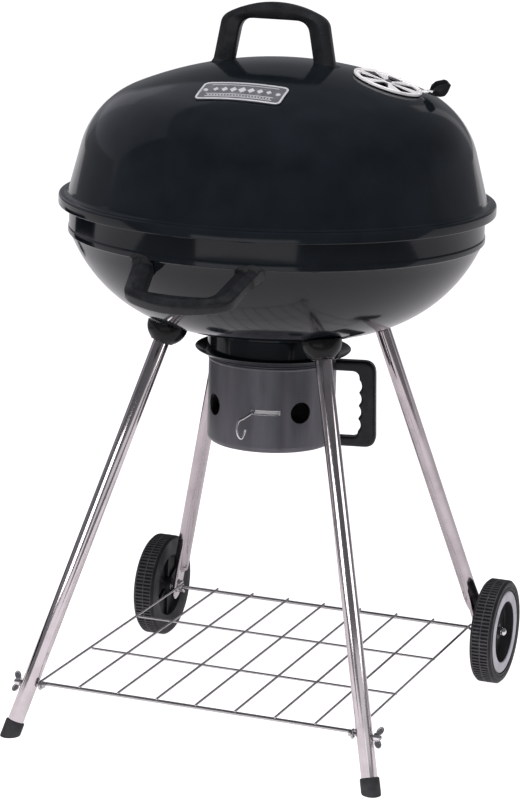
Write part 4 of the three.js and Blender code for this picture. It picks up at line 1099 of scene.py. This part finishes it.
def wheels():
    trim = lathe(rounded([(45.2, 30.3), (60.2, 30.3, 0.3), (60.2, 31, 0.5), (57.6, 31.7, 1.5), (47, 31.7, 1),
                          (45.2, 31, 0.4)], 3), 128)
    for sx, where in SIDES:
        spot, body = wheel_frame(sx), f"{where}_wheel"
        piece(f"tyre_{where}", wheel_shape().placed(spot), [WHEEL_PLASTIC, TREAD_PLASTIC], body,
              [f"wheel_{where}"], look_of=tyre_look(spot))
        piece(f"wheel_ring_{where}", trim.placed(spot), TRIM, body, [f"wheel_trim_{where}"])
        piece(f"acorn_{where}", acorn_nut().placed(spot), BRIGHT, "stand", [f"acorn_nut_{where}"])
        fastener(f"axle_{where}", axle_bolt(sx), f"axle_bolt_{where}")
        fastener(f"washer_{where}", axle_washer(sx), f"axle_washer_{where}")


# ---- Ash collar, pot and damper ----------------------------------------------------------------
POT = {"radius": 89, "bottom": 389.5, "top": 524, "corner": 9}
VENT_HEIGHT = 446.6
VENT_HOLE = 15
SLOT = {"from": radians(-87), "to": radians(-61.5), "height": 447.7, "width": 6.5}
LEVER_ANGLE = radians(-85)
VENT_ANGLES = [radians(-42 + 90 * k) for k in range(4)]


def ash_collar():
    def top(radius):
        return bowl_height(radius) - 0.5

    profile = rounded([
        (89.9, 511.4, 0.4), (91.1, 511.2, 0.6), (107.4, 520.1, 2), (108.6, 521.6, 0.8), (107.8, 522.4, 0.5),
        (105.8, 521.2, 1.5), (91.3, 513.8, 2), (91.1, top(91.1), 1), (81.5, top(81.5)),
        (81.5, top(81.5) - THIN_STEEL), (89.9, top(89.9) - THIN_STEEL, 0.8),
    ], 5)
    piece("collar_dish", lathe(profile, FINE), ENAMEL, "stand", ["ash_collar"])
    seat = bowl_height(86.5)
    for i in range(3):
        rivet = round_head(3.6, 2, 1.8, seat - 3.6, seat + 3.1, 3, 1.6)
        rivet = rivet.placed(moved(*polar(86.5, radians(90 + 120 * i))))
        fastener(f"collar_pin_{i + 1}", rivet, f"collar_rivet_{i + 1}")


def wall_holes():
    """Tools that drill the four air holes through the pot's wall or through the damper in it."""
    return [rod(polar(70, angle, VENT_HEIGHT), polar(105, angle, VENT_HEIGHT), VENT_HOLE, 48)
            for angle in VENT_ANGLES]


def wall_loop(points):
    """Points of (angle, height) as a closed path on the pot's outer wall."""
    return [polar(POT["radius"] + 0.1, angle, z) for angle, z in points]


def ash_pot():
    radius, bottom, top, corner = POT["radius"], POT["bottom"], POT["top"], POT["corner"]
    inner = radius - THIN_STEEL
    bead = [(radius, 505.6), (radius + 0.9, 507), (radius + 0.9, 508.4), (radius, 509.8)]
    shell = rounded([
        (0, bottom + 2.5), (56, bottom + 2.5, 6), (62, bottom, 6), (radius, bottom, corner),
        *((*p, 0.8) for p in bead),
        (radius, top, 0.5), (inner, top, 0.5), (inner, bottom + THIN_STEEL, corner - THIN_STEEL),
        (62, bottom + THIN_STEEL, 5), (56, bottom + THIN_STEEL + 2.5, 5), (0, bottom + THIN_STEEL + 2.5),
    ], 8, loop=False)
    half = SLOT["width"] / 2
    steps = spaced(SLOT["from"], SLOT["to"], 12)
    outline = [polar(98, a).xy for a in steps] + [polar(80, a).xy for a in reversed(steps)]
    slot = slab([(p.x, p.y) for p in outline], SLOT["height"] - half, SLOT["height"] + half)
    body = cut(lathe(shell, FINE, loop=False), *wall_holes(), slot)
    piece("pot", body, POT_ENAMEL, "ash_catcher", ["ash_pot"])
    # Bright rims round the air holes and the slot: partly worn bare edges, partly a painted highlight.
    rims = Shape()
    for angle in VENT_ANGLES:
        ring = [(angle + asin(x / radius), VENT_HEIGHT + y) for x, y in circle(VENT_HOLE + 0.5, 48)]
        rims.add(sweep(wall_loop(ring), circle(1.1, 10), loop=True, side=UP))
    top_edge = [(a, SLOT["height"] + half) for a in steps]
    lower_edge = [(a, SLOT["height"] - half) for a in reversed(steps)]
    rims.add(sweep(wall_loop(top_edge + lower_edge), circle(0.5, 8), loop=True, side=UP))
    piece("pot_rims", rims, RIM_WEAR_AND_HIGHLIGHT, "ash_catcher", [])


def damper():
    ring = lathe(rounded([(85.8, 404.5), (87, 404.5, 0.4), (87, 468, 0.4), (85.8, 468)], 2), FINE)
    fastener("damper_band", cut(ring, *wall_holes()), "damper_ring", "ash_damper")
    z = SLOT["height"]
    out = polar(1, LEVER_ANGLE)
    side = Vector((out.y, -out.x, 0))
    bends = ((84, 0, 0), (93, 0, 0), (98, 3, 2), (102, 10, 7), (105, 16, 11), (107, 17.5, 19),
             (108, 15, 30), (107, 11, 34), (105, 8, 28), (104, 6.5, 21))
    path = [out * reach + side * across + UP * (z - drop) for reach, across, drop in bends]
    lever = rod(polar(83, LEVER_ANGLE, z), polar(85.2, LEVER_ANGLE, z), 3.6, 24, 0.5)
    lever.add(wire(smooth_path(path, 6), 1.8, 14))
    piece("damper_hook", lever, BRIGHT, "ash_damper", ["damper_lever"])


# ---- The grill ---------------------------------------------------------------------------------
for build in (bowl, bowl_handle, grate_tabs, hubs, front_legs, rear_legs, foot_caps, rack, rack_fasteners,
              wheels, ash_collar, grates, ash_pot, damper, pot_handle, lid, lid_handle, handle_bolts,
              nameplate, vent_disc, vent_tab, vent_rivet):
    build()


# ---- Floor, light and camera -------------------------------------------------------------------
CAMERA_YAW = -0.36896


def card(name, low, high, place, look):
    """A flat rectangle of the studio, from low to high in the XY plane of a place."""
    mesh = bpy.data.meshes.new(name)
    corners = (low, (high[0], low[1]), high, (low[0], high[1]))
    mesh.from_pydata([tuple(place @ Vector((x, y, 0))) for x, y in corners], [], [(0, 1, 2, 3)])
    mesh.materials.append(look)
    item = new_item(name, mesh)
    return item


def floor():
    """A pale floor below and behind the grill. In front it ends, so that the room's dark side shows."""
    look = new_look("pale_floor", (0.5, 0.49, 0.5), 0.8, specular=0.1)
    vary_color(look, noise(look, 1.5, 4), (0.48, 0.47, 0.48), (0.52, 0.51, 0.52))
    shader_of(look).inputs["Emission Color"].default_value = (1, 0.97, 1, 1)
    path = look.node_tree.nodes.new("ShaderNodeLightPath")
    glow = spread(look, path.outputs["Is Camera Ray"], 0.52, 1.02, 0, 1)
    look.node_tree.links.new(glow, shader_of(look).inputs["Emission Strength"])
    bump(look, noise(look, 300, 3), 0.2, 0.3)
    front, far = 0.8, 30
    card("floor", (-far, -front), (far, far), turned(-CAMERA_YAW), look)


def surroundings():
    """Plain white to the camera. To the pieces and their reflections, a dim grey studio room."""
    world = bpy.data.worlds.new("studio")
    world.use_nodes = True
    nodes, links = world.node_tree.nodes, world.node_tree.links
    nodes.clear()
    kinds = ("OutputWorld", "MixShader", "LightPath", "Background", "Background", "TexCoord", "SeparateXYZ",
             "ValToRGB")
    made = [nodes.new("ShaderNode" + kind) for kind in kinds]
    output, mix, path, seen, room, coordinates, split, ramp = made
    seen.inputs["Color"].default_value = (1, 1, 1, 1)
    stops = ((0.0, 0.16), (0.12, 0.2), (0.3, 0.14), (0.6, 0.1), (1.0, 0.16))
    while len(ramp.color_ramp.elements) < len(stops):
        ramp.color_ramp.elements.new(0.5)
    for element, (place, value) in zip(ramp.color_ramp.elements, stops):
        element.position = place
        element.color = (value, 1.02 * value, 1.1 * value, 1)
    for start, output_name, end, socket in (
            (coordinates, "Generated", split, "Vector"), (split, "Z", ramp, "Fac"),
            (ramp, "Color", room, "Color"), (path, "Is Camera Ray", mix, "Fac"),
            (room, "Background", mix, 1), (seen, "Background", mix, 2), (mix, "Shader", output, "Surface")):
        links.new(start.outputs[output_name], end.inputs[socket])
    bpy.context.scene.world = world


def softbox(name, bearing, distance, height, size, radiance, color=(1, 1, 1), mirrored=True, only=()):
    """A flat lamp that faces the grill. bearing is in degrees round the kettle.

    mirrored lets surfaces reflect it. A lamp with pieces under only lights those pieces and no others.
    """
    light = bpy.data.lights.new(name, "AREA")
    light.shape = "RECTANGLE"
    light.size, light.size_y = size
    light.energy = pi * size[0] * size[1] * radiance
    light.color = color
    item = new_item(name, light)
    item.location = polar(distance, radians(bearing), height)
    item.rotation_euler = (Vector((0, 0, 0.6)) - item.location).to_track_quat("-Z", "Y").to_euler()
    item.visible_camera = False
    item.visible_glossy = mirrored
    if only:
        receivers = bpy.data.collections.new(f"lit_by_{name}")
        for each in only:
            receivers.objects.link(bpy.data.objects[each])
        item.light_linking.receiver_collection = receivers


def flag(name, bearing, distance, height, size):
    """A black card beside the grill, out of the camera's sight, that only dims reflections."""
    reach = Vector((size[1] / 2, size[0] / 2))
    place = frame_at(polar(distance, radians(bearing), height), -polar(1, radians(bearing)), UP)
    item = card(name, -reach, reach, place, new_look(name, (0.004, 0.004, 0.005), 1, specular=0))
    item.visible_camera = item.visible_diffuse = item.visible_shadow = False


def camera():
    """From the front right and a little above, as a long lens sees it."""
    pitch, roll = -0.2283, 0.0288
    spot = (1.4723, -3.8507 + AXIS_Y, 1.4030)
    lens = bpy.data.cameras.new("camera")
    lens.lens, lens.sensor_width = 136.5, 36
    item = new_item("camera", lens)
    turn = turned(-CAMERA_YAW) @ turned(pi / 2 + pitch, "X") @ turned(roll)
    item.matrix_world = moved(*spot) @ turn
    bpy.context.scene.camera = item


floor()
surroundings()
softbox("front_fill", -100, 3.2, 1.9, (2.6, 2.2), 1.5, mirrored=False)
softbox("top_fill", -60, 1.2, 3.0, (2.4, 2.4), 4.4, mirrored=False)
for share in (1.5, 1.2, 0.9, 0.6, 0.3):
    softbox(f"left_glow_{share}", 160, 2.6, 2.3, (2.4 * share, 1.6 * share), 0.17, (0.88, 0.86, 1))
softbox("left_rim", 134, 3.4, 1.3, (0.9, 2.4), 0.12, (0.96, 0.94, 1))
softbox("right_rim", 84, 3.6, 1.5, (0.42, 2.6), 0.2, (1, 0.96, 1))
for share in (1.3, 1.0, 0.7):
    softbox(f"low_panel_{share}", -85, 2.8, -0.1, (2.2 * share, 0.8), 0.8, (1, 0.97, 1))
TUBES = ("front_leg_right", "front_leg_left", "rear_leg_right", "rear_leg_left")
softbox("tube_panel_left", -112, 3.2, 1.2, (1.7, 1.3), 4, only=TUBES)
softbox("tube_panel_right", -2, 3.2, 1.5, (1.8, 1.8), 2.4, only=TUBES)
softbox("tube_panel_front", -45, 3.2, 0.6, (3.0, 0.9), 0.55, only=TUBES)
flag("near_flag", 172, 1.6, 0.1, (2.2, 0.2))
flag("far_flag", 163, 2.6, 0.17, (1.3, 0.3))
camera()
bpy.context.scene.view_settings.view_transform = "Standard"
